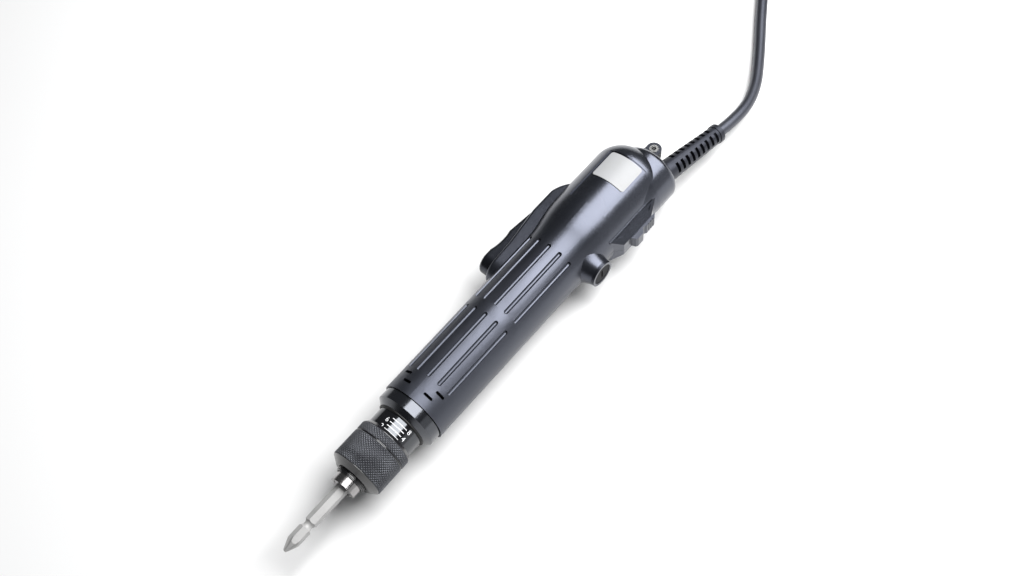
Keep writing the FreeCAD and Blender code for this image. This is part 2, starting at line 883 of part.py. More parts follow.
def front_bush():
    """Stack of black rings that closes the mouth of the torque ring."""
    bore, front = chuck_radius + room, ring_front - bush_reach
    stack = []
    for i, share in enumerate(bush_step_shares):
        x = front + i * (bush_step_length + bush_groove)
        stack.append(ring(x, x + bush_step_length, chuck_radius + share * bush_wall, bore))
    core = ring(front, ring_front, chuck_radius + bush_step_shares[0] * bush_wall - bush_groove, bore)
    root = ring(ring_front, ring_front + ring_face, bush_radius, bore)
    return joined(core, root, *stack)


def spring_seat():
    front = ring_front + ring_face
    return ring(front, front + seat_front_length, dial_bore - running,
                spring_bore)


def clutch_spring():
    start = ring_front + ring_face + seat_front_length
    return spring(V(start + seat, 0, 0), V(clutch_front - race_length - seat, 0, 0),
                  clutch_spring_radius, clutch_spring_wire, clutch_spring_turns)


def thrust_race():
    return ring(clutch_front - race_length, clutch_front - running, dial_bore - running,
                spring_bore)


# Chuck and bit
def spindle():
    step = clutch_cam_front - room
    clip = ring(chuck_spring_front - chuck_clip + running, chuck_spring_front,
                holder_radius + chuck_spring_depth - running, spindle_tail)
    shaft = joined(clip, rod(chuck_front + room, holder_rear, holder_radius),
                   rod(holder_rear, step, spindle_radius), rod(step, spindle_rear(), spindle_tail))
    socket = hexagon(chuck_front - overrun, bit_tail + room, hex_flats + 2 * hex_play, bit_roll)
    return shaft.cut([socket, ball_hole()])


def spindle_rear():
    return carrier_front + carrier_length / 3


def ball_x():
    """The retaining ball sits over the rear groove of the bit."""
    return bit_tail - bit_groove_from_end


def over_flat(shape):
    """Turn a piece drawn at the top to face a flat of the bit."""
    return about_axis(shape, bit_roll + 30 - 90)


def ball_hole():
    return over_flat(Part.makeCylinder(ball_radius + running, overrun, V(ball_x(), 0, 0), Z))


def chuck_ball():
    return over_flat(Part.makeSphere(ball_radius, V(ball_x(), 0, holder_radius - ball_radius)))


def chuck_sleeve():
    """Bright collar with a spring room at its front and a release groove for the ball."""
    bore = holder_radius + running
    spring_rear = chuck_spring_front + chuck_spring_length
    sleeve = ring(chuck_front, chuck_rear, chuck_radius, bore)
    sleeve = sleeve.cut(rod(chuck_spring_front - chuck_clip, spring_rear, bore + chuck_spring_depth))
    sleeve = sleeve.cut(rod(ball_x() + chuck_pull - 2 * ball_radius, chuck_rear + overrun, bore + running))
    slit = block(chuck_front - overrun, ring_front, -chuck_slit / 2, chuck_slit / 2,
                 chuck_radius - chuck_slit, overrun)
    return sleeve.cut(about_axis(slit, chuck_slit_angle))


def chuck_spring():
    middle = holder_radius + running + chuck_spring_depth / 2
    rear = chuck_spring_front + chuck_spring_length
    return spring(V(chuck_spring_front + seat, 0, 0), V(rear - seat, 0, 0), middle, chuck_spring_wire,
                  chuck_spring_turns)


def screwdriver_bit():
    """Hexagonal bit with a cross point and a retaining groove at each end."""
    corner = hex_flats / math.sqrt(3)
    blank = turned((bit_tip, 0), (bit_tip, bit_point_radius), (bit_tip + bit_point, corner),
                   (bit_tail - bit_point, corner), (bit_tail, bit_point_radius), (bit_tail, 0))
    bit = hexagon(bit_tip, bit_tail, hex_flats, bit_roll).common(blank)
    for middle in (bit_tip + bit_groove_from_end, bit_tail - bit_groove_from_end):
        half = bit_groove_length / 2
        neck = turned((middle - half, corner), ((middle, bit_groove_radius), (middle + half, corner)),
                      (middle + half, 2 * corner), (middle - half, 2 * corner))
        bit = bit.cut(neck)
    depth = bit_point_radius / 2 + bit_flute_radius
    for quarter in range(4):
        for tip, way in ((bit_tip, 1), (bit_tail, -1)):
            heading = V(way * bit_flute_length, 0, corner).normalize()
            start = V(tip, 0, depth) - heading * bit_flute_radius
            flute = Part.makeCylinder(bit_flute_radius, 2 * bit_flute_length, start, heading)
            bit = bit.cut(about_axis(flute, bit_roll + 45 + 90 * quarter))
    return bit


# Clutch
def clutch_ball(spare):
    middle = clutch_front + clutch_plate_length + clutch_ball_gap / 2
    return Part.makeSphere(clutch_ball_radius + spare, V(middle, 0, clutch_ball_circle))


def clutch_balls():
    return Part.makeCompound(around(clutch_ball(0), clutch_balls_count))


def clutch_plate():
    plate = ring(clutch_front, clutch_front + clutch_plate_length, clutch_radius, spindle_radius + seat)
    return plate.cut(around(clutch_ball(running), clutch_balls_count))


def clutch_cam():
    cam = ring(clutch_cam_front, clutch_cam_rear, clutch_radius, carrier_shaft + seat)
    return cam.cut(around(clutch_ball(running), clutch_balls_count))


# Gears
def toothed(x0, x1, teeth, tip, root, pitch_thickness):
    """Wheel with involute flanks, drawn through root, pitch and tip; the first tooth points along Y."""
    pitch, lean = module * teeth / 2, math.radians(pressure_angle)
    points = []
    for i in range(teeth):
        for radius, side in ((root, -1), (pitch, -1), (tip, -1), (tip, 1), (pitch, 1), (root, 1)):
            lean_here = math.acos(min(1.0, pitch * math.cos(lean) / radius))
            half = pitch_thickness / (2 * pitch) + math.tan(lean) - lean - math.tan(lean_here) + lean_here
            angle = 2 * math.pi * i / teeth + side * half
            points.append(V(x0, radius * math.cos(angle), radius * math.sin(angle)))
    return Part.Face(Part.makePolygon(points + points[:1])).extrude(X * (x1 - x0))


def gear_front():
    return carrier_front + carrier_length + 2 * room


def wheel(teeth, x0, x1, bore):
    pitch = module * teeth / 2
    thickness = math.pi * module / 2 - backlash / 2
    gear = toothed(x0, x1, teeth, pitch + addendum_share * module, pitch - dedendum_share * module, thickness)
    return gear.cut(rod(x0 - overrun, x1 + overrun, bore))


def planet_circle():
    return module * (sun_teeth + planet_teeth) / 2


def planet_gear(number):
    """Planet with a gap towards the sun and another towards the ring gear."""
    gear = wheel(planet_teeth, gear_front(), gear_front() + gear_width, planet_pin_radius + running)
    gear = about_axis(gear, 180.0 / planet_teeth).translated(Y * planet_circle())
    return about_axis(gear, 360.0 * number / planet_count)


def planet_carrier():
    """Hollow shaft and disc with the three planet pins riveted in."""
    rim = planet_circle() + planet_pin_radius + carrier_rim
    disc = rod(carrier_front, carrier_front + carrier_length, rim)
    pin = rod(carrier_front, gear_front() + gear_width, planet_pin_radius).translated(Y * planet_circle())
    body = joined(disc, rod(clutch_cam_front, carrier_front, carrier_shaft), *around(pin, planet_count))
    return body.cut(rod(clutch_cam_front - overrun, spindle_rear() + room, spindle_tail + seat))


def sun_gear():
    return wheel(sun_teeth, gear_front(), gear_front() + gear_width, pinion_shaft + seat)


def ring_gear():
    """Internal gear, pressed into its case, whose spaces have the form of a wheel's teeth."""
    front, rear = gear_front() - room, gear_front() + gear_width + room
    pitch, space = module * ring_teeth / 2, math.pi * module / 2 + backlash / 2
    deep, shallow = pitch + dedendum_share * module, pitch - addendum_share * module
    hole = toothed(front, rear, ring_teeth, deep, shallow, space)
    return rod(front, rear, ring_gear_radius).cut(about_axis(hole, 180.0 / ring_teeth))


def gear_case():
    bore = ring_gear_radius + seat
    front_wall = bearing_front + bearing_length
    return turned((case_front, bearing_radius + seat), (case_front, case_radius), (case_rear, case_radius),
                  (case_rear, bore), (front_wall, bore), (front_wall, bearing_radius + seat))


def spindle_bearing():
    return ring(bearing_front, bearing_front + bearing_length, bearing_radius, carrier_shaft + running)


# Motor
def motor_front_plate():
    return ring(case_rear, can_front, case_radius, motor_bearing_radius + seat)


def motor_bearing(front):
    return ring(front, front + motor_bearing_length, motor_bearing_radius, shaft_radius + running)


def motor_can():
    return ring(can_front, can_rear, can_radius, can_radius - can_wall)


def field_magnets():
    outer = can_radius - can_wall - seat
    arc = sector(can_front + magnet_margin, can_rear - magnet_margin, outer, outer - magnet_thickness,
                 magnet_angle / 2)
    return Part.makeCompound([arc, about_axis(arc, 180)])


def core_ends():
    return can_front + core_margin, can_rear - core_margin


def core_radius():
    return can_radius - can_wall - seat - magnet_thickness - air_gap


def core_slot(x0, x1, play):
    """Room for the wire in one slot of the core."""
    half = slot_width / 2 - play
    bottom = core_radius() * (1 - slot_depth_share) - core_tooth_lip + play
    return block(x0, x1, -half, half, bottom, core_radius() - core_tooth_lip - play)


def armature_core():
    front, rear = core_ends()
    core = ring(front, rear, core_radius(), shaft_radius + seat)
    half = slot_mouth / 2
    mouth = block(front, rear, -half, half, core_radius() - 2 * core_tooth_lip, overrun)
    slot = joined(core_slot(front, rear, 0), mouth)
    return core.cut(around(slot, core_slots))


def armature_winding():
    front, rear = core_ends()
    outer = core_radius() - core_tooth_lip - seat
    ends = [ring(x, x + end_turn_length, outer, end_turn_inner) for x in (front - end_turn_length, rear)]
    return joined(*ends, *around(core_slot(front, rear, seat), core_slots))


def armature_shaft():
    step = gear_front() + gear_width + room
    rear = rear_plate_front + motor_bearing_length + shaft_past_bearing
    return joined(rod(gear_front() - room, step, pinion_shaft), rod(step, rear, shaft_radius))


def commutator():
    rear = commutator_front + commutator_length
    body = ring(commutator_front, rear, commutator_radius, shaft_radius + seat)
    slit = block(commutator_front, rear, -commutator_slit / 2, commutator_slit / 2,
                 commutator_radius - commutator_slit_depth, overrun)
    return body.cut(around(slit, core_slots))


def cooling_fan():
    tip, half = can_radius - can_wall - 2 * room, fan_blade_thickness / 2
    rear = can_rear - fan_margin
    front = rear - fan_length
    blade = block(front, rear, -half, half, fan_hub / 2, tip)
    bore = rod(front - overrun, rear + overrun, shaft_radius + seat)
    return joined(rod(front, rear, fan_hub), *around(blade, fan_blades)).cut(bore)


def motor_rear_plate():
    rear = rear_plate_front + motor_bearing_length
    plate = ring(rear_plate_front, rear, rear_plate_radius, motor_bearing_radius + seat)
    flat = pocket_floor - floor_thickness - seat
    return plate.cut(block(rear_plate_front, rear, flat, overrun, -overrun, overrun))


# Brush gear
def brush_sides():
    """For each brush: which way it points and how far out its holder ends."""
    return ((-1, boss_face - cap_sunk - cap_height), (1, brush_spring_end()))


def far_plug():
    return floor_thickness / 2


def mirrored(shape, way):
    return shape if way > 0 else shape.mirror(V(0, 0, 0), Y)


def brush_holders():
    holders = []
    for way, end in brush_sides():
        tube_part = cross_rod(brush_x, holder_inner, end, cap_radius)
        half_x, half_z = brush_width / 2 + running, brush_depth / 2 + running
        tube_part = tube_part.cut(block(brush_x - half_x, brush_x + half_x, 0, overrun, -half_z, half_z))
        holders.append(mirrored(tube_part, way))
    return Part.makeCompound(holders)


def carbon_brushes():
    inner, half = commutator_radius + running, brush_width / 2
    brush = block(brush_x - half, brush_x + half, inner, brush_rear(), -brush_depth / 2, brush_depth / 2)
    return Part.makeCompound([mirrored(brush, way) for way, end in brush_sides()])


def brush_spring_end():
    return pocket_floor - seat - far_plug()


def brush_rear():
    return commutator_radius + running + brush_length_share * (brush_spring_end() - commutator_radius)


def brush_springs():
    start = V(brush_x, brush_rear() + seat, 0)
    coil = spring(start, V(brush_x, brush_spring_end() - seat, 0), stud_radius - brush_spring_wire,
                  brush_spring_wire, brush_spring_turns)
    return Part.makeCompound([coil, mirrored(coil, -1)])


def driver_slot(face):
    half, reach = cap_slot_width / 2, cap_slot_share * cap_radius
    return block(brush_x - half, brush_x + half, face - cap_slot_depth, face + overrun, -reach, reach)


def brush_cap_near():
    face = boss_face - cap_sunk
    cap = joined(cross_rod(brush_x, face - cap_height, face, cap_radius),
                 cross_rod(brush_x, brush_spring_end(), face - cap_height, stud_radius))
    return mirrored(cap.cut(driver_slot(face)), -1)


def brush_cap_far():
    face = pocket_floor + far_cap_height
    cap = joined(cross_rod(brush_x, pocket_floor, face, cap_radius + far_cap_rim),
                 cross_rod(brush_x, brush_spring_end(), pocket_floor, cap_radius))
    return cap.cut(driver_slot(face))


# Lever and switches
def lever_plan(half):
    """Side view of the lever, from its round nose back to the eye on its pin."""
    arm_top = pivot_y + eye_radius
    round_x, round_y = pivot_x + eye_radius, pivot_y
    flat_x = nose_x + lever_half_width / 2
    waist_x = (flat_x + start_switch_x + lever_skin) / 2
    crown_x = 2 * waist_x - flat_x
    return slab(-half, half, (nose_x, lever_skirt), (nose_x, lever_tip), (flat_x, lever_tip),
                ((waist_x, lever_waist), (crown_x, lever_crown)),
                (lever_shoulder, lever_waist - lever_skin / 2), (lever_shoulder, arm_top), (pivot_x, arm_top),
                ((round_x, round_y), (pivot_x, pivot_y - eye_radius)), (lever_shoulder, lever_skirt))


def start_lever():
    half = lever_half_width
    inner = half - lever_wall
    hollow = joined(block(nose_x, lever_shoulder - lever_wall, 0, lever_ceiling(), -inner, inner),
                    nose_drum(inner, 0, lever_ceiling()))
    lever = lever_plan(half)
    rims = [e for e in lever.Edges if e.BoundBox.ZLength < seat and e.BoundBox.XLength > seat
            and e.BoundBox.YMin > lever_waist - lever_skin]
    nose = nose_drum(half, lever_skirt, lever_tip, edge_round).common(
        block(lever_nose - half, nose_x, 0, overrun, -overrun, overrun))
    lever = joined(lever.makeFillet(edge_round, rims), nose)
    return lever.cut(hollow).cut(post(pivot_x, pivot_y, -half, half, pin_radius + running))


def lever_ceiling():
    return lever_waist - lever_skin


def lever_pin(spare):
    half = lever_half_width + room + wall - edge_round / 2 + spare
    return post(pivot_x, pivot_y, -half, half, pin_radius + spare)


def lever_spring():
    return spring(V(lever_spring_x, pocket_floor + seat, 0), V(lever_spring_x, lever_ceiling() - seat, 0),
                  lever_spring_radius, lever_spring_wire, lever_spring_turns)


def start_switch():
    top = pocket_floor + start_switch_height
    half = start_switch_length / 2
    case = block(start_switch_x - half, start_switch_x + half, pocket_floor, top,
                 -start_switch_half_width, start_switch_half_width)
    return case.cut(cross_rod(start_switch_x, top - plunger_depth, top + overrun, plunger_radius + running))


def switch_plunger():
    top = pocket_floor + start_switch_height
    tip = lever_ceiling() - running
    low = top - plunger_depth + plunger_travel() + room
    shoulder = tip - plunger_dome
    dome = Part.makeCone(plunger_radius, plunger_radius / 4, plunger_dome, V(start_switch_x, shoulder, 0), Y)
    return joined(cross_rod(start_switch_x, low, shoulder, plunger_radius), dome)


def plunger_travel():
    return (pivot_x - start_switch_x) * math.radians(lever_press)


def direction_switch():
    """Switch body with a way for the knob's stem."""
    body = switch_room(seat)
    front = knob_front + knob_length / 2 - stem_length / 2 - knob_travel - room
    rear = front + stem_length + 2 * (knob_travel + room)
    half = stem_half_width + room
    return body.cut(block(front, rear, -overrun, -bulge_face + stem_depth + room, -half, half))


def direction_knob():
    """Slide knob with a tall thumb stop, a gap and a low ridged pad."""
    face = bulge_face + running
    points = [(knob_front + knob_length * along, -face - knob_high * up) for along, up in knob_shares]
    plan = slab(-knob_half_width, knob_half_width, *points)
    groove = knob_low / 3
    for share in knob_groove_shares:
        x = knob_front + knob_length * share
        plan = plan.cut(block(x, x + groove, -overrun, -face - knob_low + groove, -overrun, overrun))
    middle = knob_front + knob_length / 2
    stem = block(middle - stem_length / 2, middle + stem_length / 2, -face, -bulge_face + stem_depth,
                 -stem_half_width, stem_half_width)
    return joined(plan, stem)


def circuit_board():
    """Board with its tall parts: a drum capacitor and a terminal block."""
    top, side, length = board_height + board_thickness, board_half_width / 2, board_rear - board_front
    plate = block(board_front, board_rear, -board_half_width, board_half_width, board_height, top)
    drum = post(board_front + length / 4, -side, top, top + part_height, part_height / 2)
    terminal = block(board_rear - length / 3, board_rear - length / 8, -side, side, top,
                     top + part_height / 2)
    return joined(plate, drum, terminal)


# Hanger and cord
def hanger_bracket():
    """Flat tab with a round eye, widened towards the lever side and hooked inside the shells."""
    x, y, r = hanger_hole_x, hanger_hole_y, hanger_tip
    side, base = -hanger_side(), hanger_base + hanger_hole_y
    shoulder = hanger_flare_x + (x - hanger_flare_x) / 2
    flare = ((hanger_flare_x, y + r + (base - y - r) / 4), (hanger_flare_x - r / 2, base))
    tab = slab(-hanger_half_thickness, hanger_half_thickness, (hanger_flange_front, side), (x, side),
               ((x + r, y), (x, y + r)), (shoulder, y + r), flare, (hanger_flange_rear, base),
               (hanger_flange_rear, hanger_flange_reach), (hanger_flange_front, hanger_flange_reach))
    return tab.cut(post(x, y, -overrun, overrun, eyelet_radius + seat))


def hanger_eyelet():
    half = hanger_half_thickness + eyelet_lip_height
    x, y = hanger_hole_x, hanger_hole_y
    rivet = joined(post(x, y, -half, half, eyelet_radius),
                   post(x, y, hanger_half_thickness, half, eyelet_radius + eyelet_lip),
                   post(x, y, -half, -hanger_half_thickness, eyelet_radius + eyelet_lip))
    return rivet.cut(post(x, y, -overrun, overrun, eyelet_bore))


def strain_relief_boot():
    """Tapered rubber boot with slots cut in turn from four sides."""
    body = joined(along_boot(-boot_plug - boot_flange_length, -boot_plug, boot_flange),
                  along_boot(-boot_plug, boot_plug_out, boot_base),
                  along_boot(boot_plug_out, boot_length, boot_base, boot_end),
                  along_boot(boot_length - boot_collar_length, boot_length, boot_collar))
    heading, base = boot_heading(), V(outlet_x, outlet_y, 0)
    tilt = FreeCAD.Rotation(X, heading)
    cuts = []
    for side in range(4):
        for i in range(boot_slots - side % 2):
            place = boot_slot_first + (i + 0.5 * (side % 2)) * boot_slot_step
            end = place + boot_slot_share * boot_slot_step
            cut = block(place, end, -boot_slot_half, boot_slot_half, boot_core, overrun)
            cut = about_axis(cut, boot_slot_angle + 90 * side)
            cut.Placement = FreeCAD.Placement(base, tilt).multiply(cut.Placement)
            cuts.append(cut)
    return body.cut(cuts)


def cord_points():
    start = V(outlet_x, outlet_y, 0) + boot_heading() * boot_length
    return [start, start + boot_heading() * cord_first_run] + [V(*p) for p in cord_route]


def power_cord():
    path = bent(cord_points())
    solid = tube(path, cord_radius)
    filled = solid.Volume / (math.pi * cord_radius ** 2 * path.Length)
    print("cord length", round(path.Length, 1), "volume against section by length", round(filled, 4))
    return solid


def cord_entry():
    """Heading of the cord where it enters the coil."""
    return (V(*cord_route[-1]) - V(*cord_route[-2])).normalize()


def coil_frame():
    """Centre of the coil, to the right of the cord, and the angle where the cord enters it."""
    right = V(cord_entry().y, -cord_entry().x, 0).normalize()
    return V(*cord_route[-1]) + right * coil_radius, math.atan2(-right.y, -right.x)


def eased(share):
    share = min(1.0, max(0.0, share))
    return share * share * (3 - 2 * share)


def coil_point(turn):
    """Spirals in and out, layer on layer, climbing in half a turn; the end lifts to the connector on top."""
    centre, first = coil_frame()
    inward = abs((turn + layer_turns) % (2 * layer_turns) - layer_turns)
    climb = sum(eased(2 * (turn - i * layer_turns) + 0.5) for i in range(1, coil_layers))
    lift = (cord_radius + connector_ring + coil_gap / 2) * eased((turn - coil_turns) / rise_turns + 1)
    radius, angle = coil_radius - coil_step * inward, first - 2 * math.pi * turn
    return centre + V(radius * math.cos(angle), radius * math.sin(angle), coil_step * climb + lift)


def coil_end():
    """Place and heading of the cord where it meets the connector."""
    tiny = 1e-4
    return coil_point(coil_turns), (coil_point(coil_turns + tiny) - coil_point(coil_turns - tiny)).normalize()


def cord_coil():
    quarter = 4
    steps = [i / quarter for i in range(math.ceil(quarter * coil_turns))] + [coil_turns]
    path = wound(coil_point, steps, cord_entry())
    samples = path.discretize(Number=quarter ** 5)
    apart = int(len(samples) / coil_turns / 3)
    least = min((a - b).Length for i, a in enumerate(samples) for b in samples[i + apart:])
    print("coil length", round(path.Length, 1), "least gap", round(least - 2 * cord_radius, 2))
    return tube(path, cord_radius)


def cord_tie():
    """Strap round the bundle of the coil."""
    centre, first = coil_frame()
    turns = [coil_point(i + tie_share) - centre for i in range(coil_layers * layer_turns)]
    reach = [math.hypot(p.x, p.y) for p in turns]
    inner, outer = min(reach) - cord_radius - tie_gap, max(reach) + cord_radius + tie_gap
    low, high = -cord_radius - tie_gap / 4, max(p.z for p in turns) + cord_radius + tie_gap
    half = tie_width / 2
    loop = block(inner - tie_thickness, outer + tie_thickness, -half, half, low - tie_thickness,
                 high + tie_thickness)
    loop = loop.cut(block(inner, outer, -overrun, overrun, low, high))
    return loop.rotated(V(0, 0, 0), Z, math.degrees(first) - 360 * tie_share).translated(centre)


def at_cord_end(shape):
    """Move a piece drawn along X from the origin to the far end of the cord."""
    place, heading = coil_end()
    shape.Placement = FreeCAD.Placement(place, FreeCAD.Rotation(X, heading)).multiply(shape.Placement)
    return shape


def connector_body():
    """Plug with a tapered neck, a coupling ring and bare pins."""
    front = connector_neck_length + connector_length
    body = turned((0, 0), (0, connector_neck), (connector_neck_length, connector_radius),
                  (front, connector_radius), (front, 0))
    grip = rod(front - connector_ring_length, front - connector_ring_length / 4, connector_ring)
    pin = Part.makeCylinder(connector_pin_radius, connector_pin_length, V(front, pin_circle, 0), X)
    return at_cord_end(joined(body, grip, *around(pin, pin_count)))


upper, lower = shells()
pieces = {
    "upper_housing_shell": upper,
    "lower_housing_shell": lower,
    "label_plate": label_plate(),
    "housing_screws": housing_screws(),
    "nose_collar": nose_collar(),
    "nose_seal": nose_seal(),
    "dial_sleeve": dial_sleeve(),
    "torque_ring": torque_ring(),
    "lock_ring": lock_ring(),
    "front_bush": front_bush(),
    "spring_seat": spring_seat(),
    "clutch_spring": clutch_spring(),
    "thrust_race": thrust_race(),
    "spindle": spindle(),
    "chuck_ball": chuck_ball(),
    "chuck_sleeve": chuck_sleeve(),
    "chuck_spring": chuck_spring(),
    "screwdriver_bit": screwdriver_bit(),
    "clutch_balls": clutch_balls(),
    "clutch_plate": clutch_plate(),
    "clutch_cam": clutch_cam(),
    "planet_carrier": planet_carrier(),
    "sun_gear": sun_gear(),
    "ring_gear": ring_gear(),
    "gear_case": gear_case(),
    "spindle_bearing": spindle_bearing(),
    "motor_front_plate": motor_front_plate(),
    "front_motor_bearing": motor_bearing(case_rear),
    "rear_motor_bearing": motor_bearing(rear_plate_front),
    "motor_can": motor_can(),
    "field_magnets": field_magnets(),
    "armature_core": armature_core(),
    "armature_winding": armature_winding(),
    "armature_shaft": armature_shaft(),
    "commutator": commutator(),
    "cooling_fan": cooling_fan(),
    "motor_rear_plate": motor_rear_plate(),
    "brush_holders": brush_holders(),
    "carbon_brushes": carbon_brushes(),
    "brush_springs": brush_springs(),
    "brush_cap_near": brush_cap_near(),
    "brush_cap_far": brush_cap_far(),
    "start_lever": start_lever(),
    "lever_pin": lever_pin(0),
    "lever_spring": lever_spring(),
    "start_switch": start_switch(),
    "switch_plunger": switch_plunger(),
    "direction_switch": direction_switch(),
    "direction_knob": direction_knob(),
    "circuit_board": circuit_board(),
    "hanger_bracket": hanger_bracket(),
    "hanger_eyelet": hanger_eyelet(),
    "strain_relief_boot": strain_relief_boot(),
    "power_cord": power_cord(),
    "cord_coil": cord_coil(),
    "cord_tie": cord_tie(),
    "connector_body": connector_body(),
}
for number in range(planet_count):
    pieces["planet_gear_%d" % (number + 1)] = planet_gear(number)
for name, shape in pieces.items():
    if not shape.isValid():
        print("not valid:", name)
    shape.exportStep("parts/%s.step" % name)
print(len(pieces), "pieces")
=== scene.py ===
import math

import bpy
import numpy as np
from mathutils import Matrix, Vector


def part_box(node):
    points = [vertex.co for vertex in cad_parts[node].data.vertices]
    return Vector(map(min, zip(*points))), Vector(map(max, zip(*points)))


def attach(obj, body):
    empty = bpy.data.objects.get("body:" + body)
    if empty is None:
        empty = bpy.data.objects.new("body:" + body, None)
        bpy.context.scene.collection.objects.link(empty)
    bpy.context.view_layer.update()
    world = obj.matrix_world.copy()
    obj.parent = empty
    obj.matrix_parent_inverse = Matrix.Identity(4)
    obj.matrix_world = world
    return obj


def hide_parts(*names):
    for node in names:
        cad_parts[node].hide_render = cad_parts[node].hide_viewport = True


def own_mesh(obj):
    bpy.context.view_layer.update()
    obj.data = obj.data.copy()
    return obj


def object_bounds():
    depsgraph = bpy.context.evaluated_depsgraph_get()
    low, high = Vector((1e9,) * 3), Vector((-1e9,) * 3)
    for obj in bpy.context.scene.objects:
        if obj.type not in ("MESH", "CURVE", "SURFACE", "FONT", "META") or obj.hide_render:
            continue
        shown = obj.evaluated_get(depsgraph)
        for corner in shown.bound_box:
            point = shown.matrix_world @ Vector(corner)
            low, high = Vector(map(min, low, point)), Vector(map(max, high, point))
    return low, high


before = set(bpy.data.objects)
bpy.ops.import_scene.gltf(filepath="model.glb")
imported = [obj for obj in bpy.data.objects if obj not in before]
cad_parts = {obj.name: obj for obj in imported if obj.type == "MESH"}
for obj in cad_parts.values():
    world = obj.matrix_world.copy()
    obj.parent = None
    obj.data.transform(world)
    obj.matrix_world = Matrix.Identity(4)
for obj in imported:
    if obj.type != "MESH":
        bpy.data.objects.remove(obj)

# Lengths are metres in the frame of the solids: the tool's axis is X, its rear points along +X, Z is up.
cad_box = [list(map(float, corner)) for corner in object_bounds()]
floor_height = cad_box[0][2]
tau = 2 * math.pi


# Camera: the eye, and the picture's right and down directions, as the photograph was taken

def photograph_camera():
    """Looks along right x down from the eye; a 45.3 mm lens on a 36 mm sensor spans the picture's width."""
    eye = (-0.158997, -0.247393, 0.614316)
    right = np.array((0.638998, -0.766968, -0.059093))
    down = np.array((-0.684895, -0.532276, -0.497646))
    turn = np.column_stack((right, -down, -np.cross(right, down)))
    data = bpy.data.cameras.new("photograph_camera")
    data.sensor_width, data.lens = 36.0, 45.316
    data.clip_start, data.clip_end = 0.01, 20.0
    camera = bpy.data.objects.new("photograph_camera", data)
    bpy.context.scene.collection.objects.link(camera)
    camera.matrix_world = Matrix.Translation(eye) @ Matrix(turn.tolist()).to_4x4()
    bpy.context.scene.camera = camera


photograph_camera()


# Shader values

class Flow:
    """A socket of a node tree. Arithmetic on it adds Math nodes, and add() adds any other node."""

    def __init__(self, tree, socket=None):
        self.tree, self.socket = tree, socket

    def add(self, kind, sockets=None, pick=0, **settings):
        """Makes a node, sets it up, then gives its sockets values or links; returns the output picked."""
        node = self.tree.nodes.new("ShaderNode" + kind)
        for name, value in settings.items():
            setattr(node, name, value)
        for key, value in (sockets or {}).items():
            if isinstance(value, Flow):
                self.tree.links.new(value.socket, node.inputs[key])
            else:
                node.inputs[key].default_value = value
        return Flow(self.tree, node.outputs[pick] if node.outputs else None)

    def math(self, operation, *values):
        """A Math node of that operation on the values."""
        return self.add("Math", dict(enumerate(values)), operation=operation)

    def __add__(self, other):
        return self.math("ADD", self, other)

    def __sub__(self, other):
        return self.math("SUBTRACT", self, other)

    def __rsub__(self, other):
        return self.math("SUBTRACT", other, self)

    def __mul__(self, other):
        return self.math("MULTIPLY", self, other)

    def __truediv__(self, other):
        return self.math("DIVIDE", self, other)

    __radd__, __rmul__ = __add__, __mul__

    def ramp(self, low, high):
        """0 below low, 1 above high, smooth between them."""
        return self.add("MapRange", {"Value": self, "From Min": low, "From Max": high},
                        interpolation_type="SMOOTHSTEP")

    def between(self, colour, other):
        """Mixes two colours by this value as the share of the second."""
        pair = [c if isinstance(c, Flow) else (*c, 1.0) for c in (colour, other)]
        return self.add("Mix", {0: self, 6: pair[0], 7: pair[1]}, pick=2, data_type="RGBA")


class Finish:
    """A material in the making: the piece's own coordinates in metres, and its Principled shader."""

    def __init__(self, name):
        self.material = bpy.data.materials.new(name)
        self.material.use_nodes = True
        tree = self.material.node_tree
        tree.nodes.clear()
        self.root = Flow(tree)
        self.place = self.root.add("TexCoord", pick=3)
        parts = [self.root.add("SeparateXYZ", {0: self.place}, pick=i) for i in range(3)]
        self.x, self.y, self.z = parts

    def noise(self, size, detail=2.0, roughness=0.5, stretch=(1, 1, 1)):
        """Noise from 0 to 1 whose blotches are about size metres, longer along the stretched axes."""
        scale = tuple(1.0 / (size * s) for s in stretch)
        spot = self.root.add("Mapping", {0: self.place, 3: scale})
        return self.root.add("TexNoise", {"Vector": spot, "Scale": 1.0, "Detail": detail,
                                          "Roughness": roughness})

    def radius(self):
        """Distance from the tool's axis."""
        return self.root.math("SQRT", self.y * self.y + self.z * self.z)

    def bump(self, height, depth):
        """Normal of a relief: a height of 1 stands depth metres proud."""
        return self.root.add("Bump", {"Distance": depth, "Height": height})

    def done(self, **sockets):
        """Sets the shader's sockets, named with _ for a space, and gives the material."""
        values = {}
        for name, value in sockets.items():
            name = name.replace("_", " ")
            values[name] = (*value, 1.0) if isinstance(value, tuple) and len(value) == 3 else value
        shader = self.root.add("BsdfPrincipled", values)
        self.root.add("OutputMaterial", {0: shader})
        return self.material


# Tints of what shiny pieces reflect, and sizes of the marks on moulded plastic

neutral, steel_blue, cool = (1.0, 1.0, 1.0), (0.86, 0.9, 1.0), (0.76, 0.81, 1.0)
plastic_grain, grain_depth, gloss_cloud, hand_mark = 0.00022, 0.00002, 0.018, 0.006


def moulded(name, colour, roughness, grain=plastic_grain, depth=grain_depth, wear=0.35, tint=neutral,
            shine=0.5):
    """Spark-eroded plastic: fine grain as bump, faint clouds in its gloss, a little greying from handling."""
    f = Finish(name)
    fine = f.noise(grain, 3.0, 0.65)
    cloud = f.noise(gloss_cloud, 3.0)
    handled = f.noise(hand_mark, 4.0, 0.6).ramp(0.5, 0.75) * wear
    pale = tuple(min(1.0, c * 1.6 + 0.006) for c in colour)
    return f.done(Base_Color=handled.between(colour, pale),
                  Roughness=cloud * 0.1 + fine * 0.06 + (roughness - 0.08),
                  Normal=f.bump(fine, depth), Specular_Tint=tint, Specular_IOR_Level=shine)


